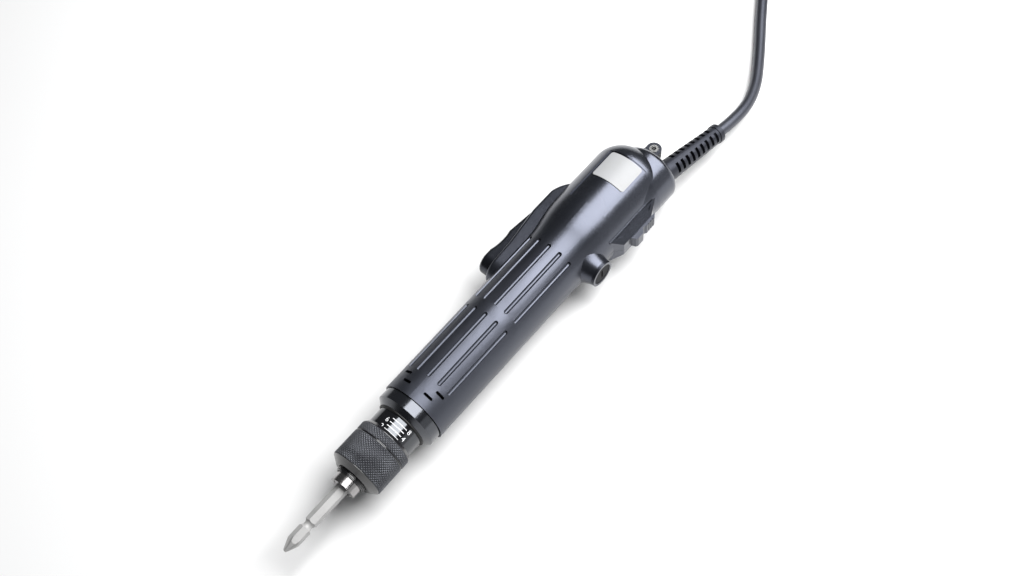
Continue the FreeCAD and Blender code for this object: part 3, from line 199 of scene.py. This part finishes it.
def body_plastic():
    """The housing's plastic: grain and handling marks as on the other mouldings, scuffs along the tool, gloss
    that grows from the front of the grip to the rear, and the parting line's groove where |z| is near 0."""
    f = Finish("satin_black_body")
    black, paler_tone, groove = (0.005, 0.0056, 0.007), (0.012, 0.013, 0.015), (0.002, 0.002, 0.002)
    fine, cloud = f.noise(plastic_grain, 3.0, 0.65), f.noise(gloss_cloud, 3.0)
    handled = f.noise(hand_mark, 4.0, 0.6).ramp(0.5, 0.75) * 0.3
    scratch = f.noise(0.0009, 4.0, 0.7, stretch=(7, 1, 1)).ramp(0.66, 0.74)
    scuffs = scratch * f.noise(0.014, 2.0).ramp(0.5, 0.7)
    parting = 1.0 - f.root.math("ABSOLUTE", f.z).ramp(0.0001, 0.0004)
    dull = 0.36 - f.x.ramp(0.02, 0.165) * 0.18
    colour = (handled + scuffs * 0.3).between(black, paler_tone)
    return f.done(Base_Color=(parting * 0.8).between(colour, groove),
                  Roughness=cloud * 0.1 + fine * 0.06 + scuffs * 0.06 + dull,
                  Normal=f.bump(fine - parting * 6.0, grain_depth),
                  Specular_Tint=cool, Specular_IOR_Level=1.0)


def turned_metal(name, colour, roughness, pitch=0.00012, metallic=1.0, lines=0.000004, axis=0, tint=neutral,
                 shine=0.5):
    """Lathe-turned metal: rings of fine lines along the axis, cloudy in gloss, with a few darker streaks."""
    f = Finish(name)
    ring_length = 400
    rings = f.noise(pitch, 3.0, 0.7, stretch=tuple(1 if i == axis else ring_length for i in range(3)))
    cloud = f.noise(0.004, 4.0, 0.6)
    dark = tuple(c * 0.78 for c in colour)
    return f.done(Base_Color=(cloud.ramp(0.45, 0.8) * 0.6).between(colour, dark), Metallic=metallic,
                  Roughness=rings * 0.1 + cloud * 0.06 + (roughness - 0.08), Normal=f.bump(rings, lines),
                  Specular_Tint=tint, Specular_IOR_Level=shine)


def cut_metal(name, colour, roughness, stain=(0.1, 0.08, 0.05), oiled=0.3):
    """Milled or drawn metal: short tool marks, and darker oil in blotches that also dulls it."""
    f = Finish(name)
    marks = f.noise(0.00015, 3.0, 0.7, stretch=(6, 1, 1))
    oil = f.noise(0.0035, 4.0, 0.6).ramp(0.5, 0.72) * oiled
    return f.done(Base_Color=oil.between(colour, stain), Metallic=1.0 - oil * 0.4,
                  Roughness=marks * 0.14 + oil * 0.12 + (roughness - 0.07), Normal=f.bump(marks, 0.000006))


def drawn_wire(name, colour, roughness, strand=0.0004, depth=0.00006):
    """Wire laid along X: long fine strands as bump, each strand a little lighter or darker."""
    f = Finish(name)
    strands, fine = f.noise(strand, 1.0, 0.4, stretch=(60, 1, 1)), f.noise(0.0001, 2.0)
    dark = tuple(c * 0.55 for c in colour)
    return f.done(Base_Color=strands.ramp(0.35, 0.65).between(dark, colour), Metallic=0.9,
                  Roughness=strands * 0.12 + fine * 0.06 + roughness, Normal=f.bump(strands, depth))


def stacked_sheet():
    """Rotor core of stamped sheets: a groove every half millimetre along X, rust-brown in a few of them."""
    f = Finish("stacked_sheet_steel")
    sheet = 0.0005
    sheets = f.root.math("SINE", f.x * (tau / sheet)) * 0.5 + 0.5
    rust = f.noise(0.002, 3.0, 0.6, stretch=(0.2, 1, 1)).ramp(0.55, 0.7) * 0.4
    return f.done(Base_Color=rust.between((0.2, 0.2, 0.21), (0.12, 0.06, 0.03)), Metallic=0.8,
                  Roughness=rust * 0.3 + 0.38, Normal=f.bump(sheets, 0.00004))


def pressed_grain(name, colour, roughness, size):
    """Pressed powder, as magnets and brushes are: a coarse dull grain with specks that catch light."""
    f = Finish(name)
    grain, specks = f.noise(size, 4.0, 0.7), f.noise(size * 0.4, 1.0).ramp(0.68, 0.74)
    pale = tuple(c * 2.2 + 0.01 for c in colour)
    return f.done(Base_Color=(grain * 0.5 + specks * 0.5).between(colour, pale), Metallic=specks * 0.5,
                  Roughness=grain * 0.2 + (roughness - 0.1), Normal=f.bump(grain, 0.00003))


def printed_board():
    """Green solder mask over tracks, with tinned pads on a 2.54 mm grid."""
    f = Finish("printed_board")
    pitch, tin = 0.00254, (0.6, 0.6, 0.58)
    tracks = f.noise(0.0022, 0.0, 0.0, stretch=(4, 1, 1)).ramp(0.5, 0.54)
    cell = [f.root.math("FRACT", v / pitch) - 0.5 for v in (f.x, f.y)]
    pads = 1.0 - f.root.math("SQRT", cell[0] * cell[0] + cell[1] * cell[1]).ramp(0.2, 0.26)
    mask = tracks.between((0.006, 0.05, 0.02), (0.012, 0.09, 0.035))
    return f.done(Base_Color=pads.between(mask, tin), Metallic=pads * 0.9, Roughness=tracks * 0.08 + 0.3,
                  Normal=f.bump(tracks + pads, 0.00003))


def blank_label():
    """White film label: soft gloss, faint waves where it was pressed down, a trace of yellowing."""
    f = Finish("blank_label")
    fresh, yellowed = (0.325, 0.33, 0.338), (0.305, 0.305, 0.301)
    waves, aged, fine = f.noise(0.004, 2.0), f.noise(0.009, 3.0).ramp(0.45, 0.8), f.noise(0.0002, 2.0)
    return f.done(Base_Color=(aged * 0.6).between(fresh, yellowed),
                  Roughness=waves * 0.1 + fine * 0.05 + 0.34,
                  Normal=f.bump(waves + fine * 0.1, 0.00004), Specular_IOR_Level=0.3)


def screw_steel():
    """Blackened screws along Z whose cross-shaped drive is sunk by a bump and painted dark as shade: where
    the lesser of |x| and |y| from the nearest screw is under its arm's half width and the greater under its
    reach, near the heads' faces."""
    f = Finish("blackened_screws")
    # The sunk cross of each screw's drive gets a painted shade colour, darker than the blackened steel.
    blackened, recess_shade, recess_depth = (0.07, 0.07, 0.075), (0.004, 0.004, 0.004), 0.0004
    face = float(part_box("housing_screws")[0][2])
    outside = None
    for place in screw_places:
        ax, ay = [f.root.math("ABSOLUTE", v - c) for v, c in zip((f.x, f.y), place)]
        beside = f.root.math("MINIMUM", ax, ay).ramp(0.0003, 0.0004)
        beyond = f.root.math("MAXIMUM", ax, ay).ramp(0.0014, 0.0017)
        away = f.root.math("MAXIMUM", beside, beyond)
        outside = away if outside is None else f.root.math("MINIMUM", outside, away)
    drive = (1.0 - outside) * (1.0 - f.z.ramp(face + 0.0008, face + 0.001))
    grain = f.noise(0.0003, 3.0)
    return f.done(Base_Color=drive.between(blackened, recess_shade), Metallic=1.0 - drive,
                  Roughness=grain * 0.14 + drive * 0.3 + 0.3,
                  Normal=f.bump(grain * 0.05 - drive, recess_depth))


def connector_finish(line):
    """Black connector whose pins, past its face along the cord's last direction, are bright metal."""
    f = Finish("cord_connector")
    black, plated, face = (0.015, 0.015, 0.016), (0.75, 0.7, 0.6), 0.0289
    way = line[-1] - line[-2]
    way /= np.linalg.norm(way)
    along = f.root.add("VectorMath", {0: f.place, 1: tuple(way)}, pick=1, operation="DOT_PRODUCT")
    pins = (along - float(line[-1] @ way)).ramp(face, face + 0.0002)
    fine, cloud = f.noise(plastic_grain, 3.0, 0.65), f.noise(0.008, 3.0)
    return f.done(Base_Color=pins.between(black, plated), Metallic=pins, Normal=f.bump(fine, grain_depth),
                  Roughness=cloud * 0.12 + fine * 0.06 + (0.36 - pins * 0.16))


# Surfaces from arrays

def mesh_piece(name, points, faces, material, body, smooth=True):
    """Puts points and faces into a mesh whose object sits at the origin and rides on a body."""
    mesh = bpy.data.meshes.new(name)
    mesh.from_pydata(points.reshape(-1, 3).tolist(), [], faces.reshape(-1, faces.shape[-1]).tolist())
    mesh.polygons.foreach_set("use_smooth", np.full(len(mesh.polygons), smooth))
    mesh.materials.append(material)
    mesh.update()
    piece = bpy.data.objects.new(name, mesh)
    bpy.context.scene.collection.objects.link(piece)
    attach(piece, body)
    return piece


def grid_faces(rows, columns, wrap_rows=False, wrap_columns=False):
    """Quads over a grid of rows by columns, row by row, joined round where it wraps."""
    r = np.arange(rows if wrap_rows else rows - 1)
    c = np.arange(columns if wrap_columns else columns - 1)
    r, c = np.meshgrid(r, c, indexing="ij")
    r2, c2 = (r + 1) % rows, (c + 1) % columns
    return np.stack((r * columns + c, r2 * columns + c, r2 * columns + c2, r * columns + c2), -1)


# Cord: leaves the boot, drops to the table, runs out of the picture and ends in a tied coil

def cord_line():
    """Control points: the route, then clockwise coil turns on a circle. It shrinks by one cord and its gap
    a turn for two turns, climbs a layer in half a turn, grows again and so on, and its last part rises to the
    connector. Turns are drawn out by 1/cos of half a step, because the spline cuts inside its points."""
    boot_root, boot_length, straight_run = np.array((0.2006, -0.0132, 0.0)), 0.050, 0.0209
    sideways, downwards = math.radians(5.5), math.radians(10.0)
    heading = np.array((1.0, -math.tan(sideways), -math.tan(downwards)))
    heading /= np.linalg.norm(heading)
    boot_end = boot_root + boot_length * heading
    route = np.array([boot_end, boot_end + straight_run * heading, (0.2955, -0.0145, -0.017),
                      (0.322, 0.0005, -0.0191), (0.350, 0.0185, -0.0191), (0.4147, 0.0571, -0.0182)])
    entry = route[-1] - route[-2]
    entry[2] = 0.0
    entry /= np.linalg.norm(entry)
    right = np.array((entry[1], -entry[0], 0.0))
    coil_radius, step, layer_turns, turns, a_turn = 0.0455, 0.0077, 2.0, 6.333, 20
    end_rise, rise_turns = 0.01425, 0.777
    centre, first = route[-1] + coil_radius * right, math.atan2(-right[1], -right[0])
    turn = np.append(np.arange(1, int(turns * a_turn) + 1) / a_turn, turns)
    inward = np.abs((turn + layer_turns) % (2 * layer_turns) - layer_turns)
    smooth = lambda share: np.clip(share, 0, 1) ** 2 * (3 - 2 * np.clip(share, 0, 1))
    climbs = [smooth(2 * (turn - k * layer_turns) + 0.5) for k in (1, 2)]
    lift = end_rise * smooth((turn - turns + rise_turns) / rise_turns)
    radius = (coil_radius - step * inward) / math.cos(math.pi / a_turn)
    angle = first - tau * turn
    coil = centre + np.stack((radius * np.cos(angle), radius * np.sin(angle), step * sum(climbs) + lift), 1)
    return np.vstack((route, coil))


def power_lead(material):
    """A NURBS curve through the control points, thickened to the cord's round section."""
    points, cord_radius = cord_line(), 0.0036
    curve = bpy.data.curves.new("power_lead", "CURVE")
    curve.dimensions, curve.resolution_u = "3D", 8
    curve.bevel_depth, curve.bevel_resolution, curve.use_fill_caps = cord_radius, 5, True
    spline = curve.splines.new("NURBS")
    spline.points.add(len(points) - 1)
    spline.points.foreach_set("co", np.column_stack((points, np.ones(len(points)))).ravel())
    spline.order_u = 3
    spline.use_endpoint_u = True
    curve.materials.append(material)
    lead = bpy.data.objects.new("power_lead", curve)
    bpy.context.scene.collection.objects.link(lead)
    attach(lead, "tool_body")
    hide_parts("power_cord", "cord_coil")


def cord_sheath():
    """Extruded sheath: satin, with slow waviness and very fine grain."""
    f = Finish("cord_sheath")
    black, greyed = (0.009, 0.0095, 0.0115), (0.014, 0.0145, 0.0165)
    fine, slow = f.noise(0.0003, 3.0), f.noise(0.012, 2.0)
    return f.done(Base_Color=slow.ramp(0.4, 0.8).between(black, greyed),
                  Roughness=slow * 0.12 + fine * 0.05 + 0.34, Normal=f.bump(fine + slow * 0.6, 0.00002),
                  Specular_Tint=cool, Specular_IOR_Level=0.9)


power_lead(cord_sheath())


# Knurling and dial marks

def knurled_band(name, body, start, end, radius, material):
    """Diamond knurl round X: height = lesser of two triangle waves that wind left and right round the ring,
    cut flat at the top, on a band that is closed to a smaller radius at both ends."""
    sunk, around_count, pitch, fine = 0.0003, 54, 0.00165, 6
    wave_gain, end_gain = 1.6, 4
    rows = max(2, round((end - start) / pitch)) * fine
    x = np.linspace(start, end, rows + 1)[:, None]
    turn = np.arange(around_count * fine)[None, :] / (around_count * fine)
    wave = lambda t: 1 - np.abs(2 * (t % 1.0) - 1)
    left, right = around_count * turn + x / pitch, around_count * turn - x / pitch
    diamonds = np.clip(wave_gain * np.minimum(wave(left), wave(right)), 0, 1)
    height = diamonds * np.clip(end_gain * np.minimum(x - start, end - x) / pitch, 0, 1)
    foot = np.full_like(turn, radius - sunk)
    r = np.vstack((foot, radius + knurl_height * height, foot))
    x = np.vstack((x[:1], x, x[-1:])) * np.ones_like(turn)
    points = np.stack((x, r * np.sin(tau * turn), r * np.cos(tau * turn)), -1)
    faces = grid_faces(*r.shape, wrap_rows=True, wrap_columns=True)
    return mesh_piece(name, points, faces, material, body, smooth=False)


def knurl_finish():
    """Blackened steel with painted shade in the knurl's valleys, where it is also dull, and paler on its
    points,
    where hands have rubbed it: the share of pale rises with the distance from the axis."""
    f = Finish("blackened_knurl")
    # The knurl's valleys get a painted shade colour, darker than the blackened steel; the points are paler
    # where rubbed.
    valley_shade, point = (0.001, 0.001, 0.0011), (0.046, 0.047, 0.052)
    paler_tone = f.radius().ramp(ring_radius + 0.2 * knurl_height, ring_radius + 0.8 * knurl_height)
    fine, cloud = f.noise(0.0002, 3.0, 0.6), f.noise(0.004, 3.0)
    return f.done(Base_Color=(paler_tone * (cloud * 0.4 + 0.7)).between(valley_shade, point),
                  Roughness=fine * 0.1 + cloud * 0.08 + (0.46 - paler_tone * 0.2), Normal=f.bump(fine, 0.00001),
                  Specular_Tint=steel_blue, Specular_IOR_Level=1.0)


def on_dial(x, across, radius):
    """Point on the dial: across is an arc length towards -Y from the line that faces the camera."""
    roll = dial_facing + across / dial_radius
    return np.stack((x + 0 * roll, -radius * np.sin(roll), radius * np.cos(roll)), -1)


def dial_lines(material):
    """Printed rings' arcs: a flat strip bent round the dial for each setting, a rectangle in section."""
    half, width, steps = dial_radius * math.radians(20.0), 0.0004, 41
    across = np.linspace(-half, half, steps)[:, None]
    sx, sr = np.array((-1, 1, 1, -1)) * width / 2, dial_radius + np.array((-1, -1, 1, 1)) * print_height
    last = 4 * (steps - 1)
    sides = grid_faces(steps, 4, wrap_columns=True).reshape(-1, 4)[:, ::-1]
    ends = np.array([(3, 2, 1, 0), (last, last + 1, last + 2, last + 3)])
    points, faces = [], []
    for k, x in enumerate(dial_places):
        points.append(on_dial(x + sx[None, :] + 0 * across, across + 0 * sx, sr[None, :]).reshape(-1, 3))
        faces.append(np.vstack((sides, ends)) + 4 * steps * k)
    mesh_piece("dial_lines", np.vstack(points), np.vstack(faces), material, "tool_body",
               smooth=False)


def dial_numbers(material):
    """Plain numbers beside the lines, by turns on either side: flat text bent round the dial, then given a
    thickness."""
    digit_size, aside = 0.0037, math.radians(28.0)
    points, faces, count = [], [], 0
    for k, x in enumerate(dial_places):
        text = bpy.data.curves.new("number", "FONT")
        text.body, text.size, text.align_x, text.align_y = str(2 * k + 2), digit_size, "CENTER", "CENTER"
        carrier = bpy.data.objects.new("number", text)
        flat = bpy.data.meshes.new_from_object(carrier)
        flat.calc_loop_triangles()
        spots, corners = np.empty((len(flat.vertices), 3)), np.empty((len(flat.loop_triangles), 3), np.int32)
        flat.vertices.foreach_get("co", spots.ravel())
        flat.loop_triangles.foreach_get("vertices", corners.ravel())
        u, v = spots[:, 0], spots[:, 1]
        side = (-aside if k % 2 == 0 else aside) * dial_radius
        points.append(on_dial(x + v, side + u, np.full_like(u, dial_radius + print_height)))
        faces.append(corners + count)
        count += len(u)
        bpy.data.objects.remove(carrier)
        bpy.data.curves.remove(text)
        bpy.data.meshes.remove(flat)
    numbers = mesh_piece("dial_numbers", np.vstack(points), np.vstack(faces), material, "tool_body",
                         smooth=False)
    wall = numbers.modifiers.new("wall", "SOLIDIFY")
    wall.thickness, wall.offset = 2 * print_height, -1.0


dial_radius = float(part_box("dial_sleeve")[1][2])
dial_places = (-0.0192, -0.01695, -0.0147, -0.01245)
dial_facing, print_height = math.radians(18.5), 0.00003
white_print = moulded("white_print", (0.8, 0.81, 0.83), 0.45, wear=0.2)
dial_lines(white_print)
dial_numbers(white_print)
ring_low, ring_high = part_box("torque_ring")
lock_low, lock_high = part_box("lock_ring")
ring_radius, knurl_height = float(ring_high[2]), 0.00042
plain_front, plain_rear, inset = 0.0030, 0.0020, 0.0002
knurl_steel = knurl_finish()
knurled_band("torque_knurl", "torque_ring", ring_low[0] + plain_front, ring_high[0] - inset, ring_radius,
             knurl_steel)
knurled_band("lock_knurl", "lock_ring", lock_low[0] + inset, lock_high[0] - plain_rear, ring_radius,
             knurl_steel)


# Springs: round wire on a helix in place of the solid springs

def coil_spring(node, body, axis, middle, mean, wire, turns):
    """Round wire on a helix: its place along the axis stands still for part of a turn at both ends and rises
    evenly between, and its section is a circle in the plane of radius and axis, drawn with eight sides, whose
    ends are closed by three quads."""
    still, a_turn, sided = 0.4, 32, 8
    low, high = [float(corner[axis]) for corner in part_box(node)]
    turn = np.linspace(0, turns, round(turns * a_turn) + 1)[:, None]
    around = tau * np.arange(sided)[None, :] / sided
    radius = mean + wire / 2 * np.cos(around)
    rise = np.clip((turn - still) / (turns - 2 * still), 0, 1)
    points = np.zeros((len(turn), sided, 3)) + np.array(middle)
    points[..., axis] = low + wire / 2 + (high - low - wire) * rise + wire / 2 * np.sin(around)
    points[..., (axis + 1) % 3] += radius * np.cos(tau * turn)
    points[..., (axis + 2) % 3] += radius * np.sin(tau * turn)
    cap = np.array([(0, 1, 2, 3), (0, 3, 4, 7), (4, 5, 6, 7)])
    sides = grid_faces(len(turn), sided, wrap_columns=True).reshape(-1, 4)
    faces = np.vstack((sides, cap, cap[:, ::-1] + sided * (len(turn) - 1)))
    piece = mesh_piece(node + "_wire", points, faces, spring_wire, body)
    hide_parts(node)
    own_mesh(piece)


spring_wire = drawn_wire("spring_wire", (0.45, 0.45, 0.46), 0.24, 0.0008, 0.00001)
coil_spring("lever_spring", "tool_body", 1, (0.097, 0, 0), 0.0034, 0.0008, 5)
coil_spring("clutch_spring", "tool_body", 0, (0, 0, 0), 0.00887, 0.0020, 5)
coil_spring("chuck_spring", "spindle", 0, (0, 0, 0), 0.0064, 0.0006, 2.5)


# Finishes of the solids

screw_places = ((0.15813, 0.01642), (0.18674, 0.01199), (0.14649, -0.0135), (0.18371, -0.01651))
ground_steel = turned_metal("ground_steel", (0.55, 0.55, 0.56), 0.24)
gear_steel = cut_metal("hobbed_gear_steel", (0.42, 0.42, 0.43), 0.3)
hard_steel = cut_metal("hardened_steel", (0.33, 0.32, 0.32), 0.32, stain=(0.07, 0.05, 0.06))
bearing_steel = turned_metal("bearing_steel", (0.66, 0.66, 0.67), 0.16)
zinc_plate = cut_metal("zinc_plated_steel", (0.5, 0.51, 0.52), 0.34, stain=(0.25, 0.25, 0.24), oiled=0.25)
black_moulding = moulded("black_inner_moulding", (0.014, 0.014, 0.015), 0.4)
finishes = {
    body_plastic(): "upper_housing_shell lower_housing_shell",
    moulded("lever_plastic", (0.0035, 0.0039, 0.005), 0.26, tint=cool, shine=0.6): "start_lever",
    moulded("switch_plastic", (0.008, 0.0085, 0.01), 0.32, tint=cool, shine=0.8):
        "direction_knob switch_plunger",
    moulded("cap_plastic", (0.005, 0.0052, 0.0064), 0.5, tint=cool, shine=0.08):
        "brush_cap_near brush_cap_far",
    moulded("boot_rubber", (0.0085, 0.009, 0.0115), 0.44, 0.0003, tint=cool, shine=0.45):
        "strain_relief_boot",
    moulded("seal_rubber", (0.004, 0.004, 0.0045), 0.6, 0.0003): "nose_seal",
    moulded("hanger_nylon", (0.005, 0.0055, 0.0068), 0.3, tint=cool): "hanger_bracket",
    turned_metal("black_anodised_nose", (0.006, 0.0065, 0.008), 0.16, metallic=0.0, tint=steel_blue,
                 shine=1.0): "nose_collar",
    turned_metal("gloss_black_dial", (0.004, 0.004, 0.005), 0.13, metallic=0.0, tint=(0.9, 0.94, 1.0),
                 shine=1.0): "dial_sleeve",
    turned_metal("blackened_ring", (0.008, 0.008, 0.0095), 0.2, metallic=0.0, shine=1.0):
        "torque_ring lock_ring",
    turned_metal("black_steel_bush", (0.012, 0.012, 0.014), 0.26, 0.0006, metallic=0.0, lines=0.00006,
                 shine=1.0): "front_bush",
    turned_metal("polished_steel", (0.34, 0.33, 0.33), 0.22): "chuck_sleeve",
    turned_metal("satin_bit_steel", (0.36, 0.358, 0.355), 0.5, 0.0002, metallic=0.15): "screwdriver_bit",
    turned_metal("nickel_eyelet", (0.3, 0.3, 0.3), 0.22, axis=2): "hanger_eyelet",
    blank_label(): "label_plate",
    ground_steel: "spindle armature_shaft thrust_race",
    turned_metal("ground_pin", (0.55, 0.55, 0.56), 0.24, axis=2): "lever_pin",
    bearing_steel: "chuck_ball clutch_balls spindle_bearing front_motor_bearing rear_motor_bearing",
    gear_steel: "planet_carrier planet_gear_1 planet_gear_2 planet_gear_3 sun_gear ring_gear",
    hard_steel: "clutch_cam clutch_plate spring_seat",
    spring_wire: "brush_springs",
    moulded("gear_case_black", (0.004, 0.004, 0.0045), 0.62): "gear_case",
    zinc_plate: "motor_can motor_front_plate motor_rear_plate",
    pressed_grain("ferrite_magnets", (0.03, 0.03, 0.033), 0.5, 0.0004): "field_magnets",
    pressed_grain("carbon", (0.01, 0.01, 0.011), 0.45, 0.00025): "carbon_brushes",
    stacked_sheet(): "armature_core",
    drawn_wire("enamelled_copper", (0.55, 0.19, 0.07), 0.22): "armature_winding",
    turned_metal("commutator_copper", (0.75, 0.37, 0.2), 0.28): "commutator",
    cut_metal("brass_holders", (0.7, 0.5, 0.2), 0.3, stain=(0.3, 0.18, 0.06)): "brush_holders",
    black_moulding: "start_switch direction_switch",
    moulded("fan_nylon", (0.05, 0.05, 0.052), 0.42): "cooling_fan",
    printed_board(): "circuit_board",
    screw_steel(): "housing_screws",
    connector_finish(cord_line()): "connector_body",
    moulded("tie_nylon", (0.02, 0.02, 0.021), 0.45, 0.0004, 0.00005): "cord_tie",
}
for material, nodes in finishes.items():
    for node in nodes.split():
        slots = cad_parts[node].data.materials
        slots.clear()
        slots.append(material)


# Studio

def studio():
    """A pale floor, a broad softbox over the tool, a dim panel on its near side and a dim even room."""
    half, gap, room_light, aim = 12.0, 0.0002, 0.09, np.array((0.09, 0.0, 0.0))
    scene = bpy.context.scene
    f = Finish("pale_floor")
    cloud = f.noise(0.2, 2.0)
    paper = f.done(Base_Color=cloud.between((0.78, 0.78, 0.78), (0.76, 0.76, 0.76)), Roughness=0.85)
    mesh = bpy.data.meshes.new("floor")
    corners = [(half * x, half * y, floor_height - gap) for x, y in ((-1, -1), (1, -1), (1, 1), (-1, 1))]
    mesh.from_pydata(corners, [], [(0, 1, 2, 3)])
    mesh.materials.append(paper)
    floor = bpy.data.objects.new("floor", mesh)
    scene.collection.objects.link(floor)
    world = bpy.data.worlds.new("even_room")
    world.use_nodes = True
    background = world.node_tree.nodes["Background"]
    background.inputs[0].default_value = (0.94, 0.97, 1.0, 1.0)
    background.inputs[1].default_value = room_light
    scene.world = world
    lamps = (("softbox", (0.485, -0.22, 0.845), 0.89, (0.9, 0.83), 22.5),
             ("side_panel", (0.3, -0.93, 0.22), 1.2, (1.6, 0.6), 1.8))
    for name, away, distance, size, power in lamps:
        data = bpy.data.lights.new(name, "AREA")
        data.shape, data.size, data.size_y, data.energy = "RECTANGLE", *size, power
        lamp = bpy.data.objects.new(name, data)
        scene.collection.objects.link(lamp)
        back = np.array(away) / np.linalg.norm(away)
        side = np.array((1.0, 0.0, 0.0)) - back[0] * back
        side /= np.linalg.norm(side)
        turn = np.column_stack((side, np.cross(back, side), back))
        place = aim + distance * back
        lamp.matrix_world = Matrix.Translation(place.tolist()) @ Matrix(turn.tolist()).to_4x4()
    scene.view_settings.view_transform = "Standard"


studio()
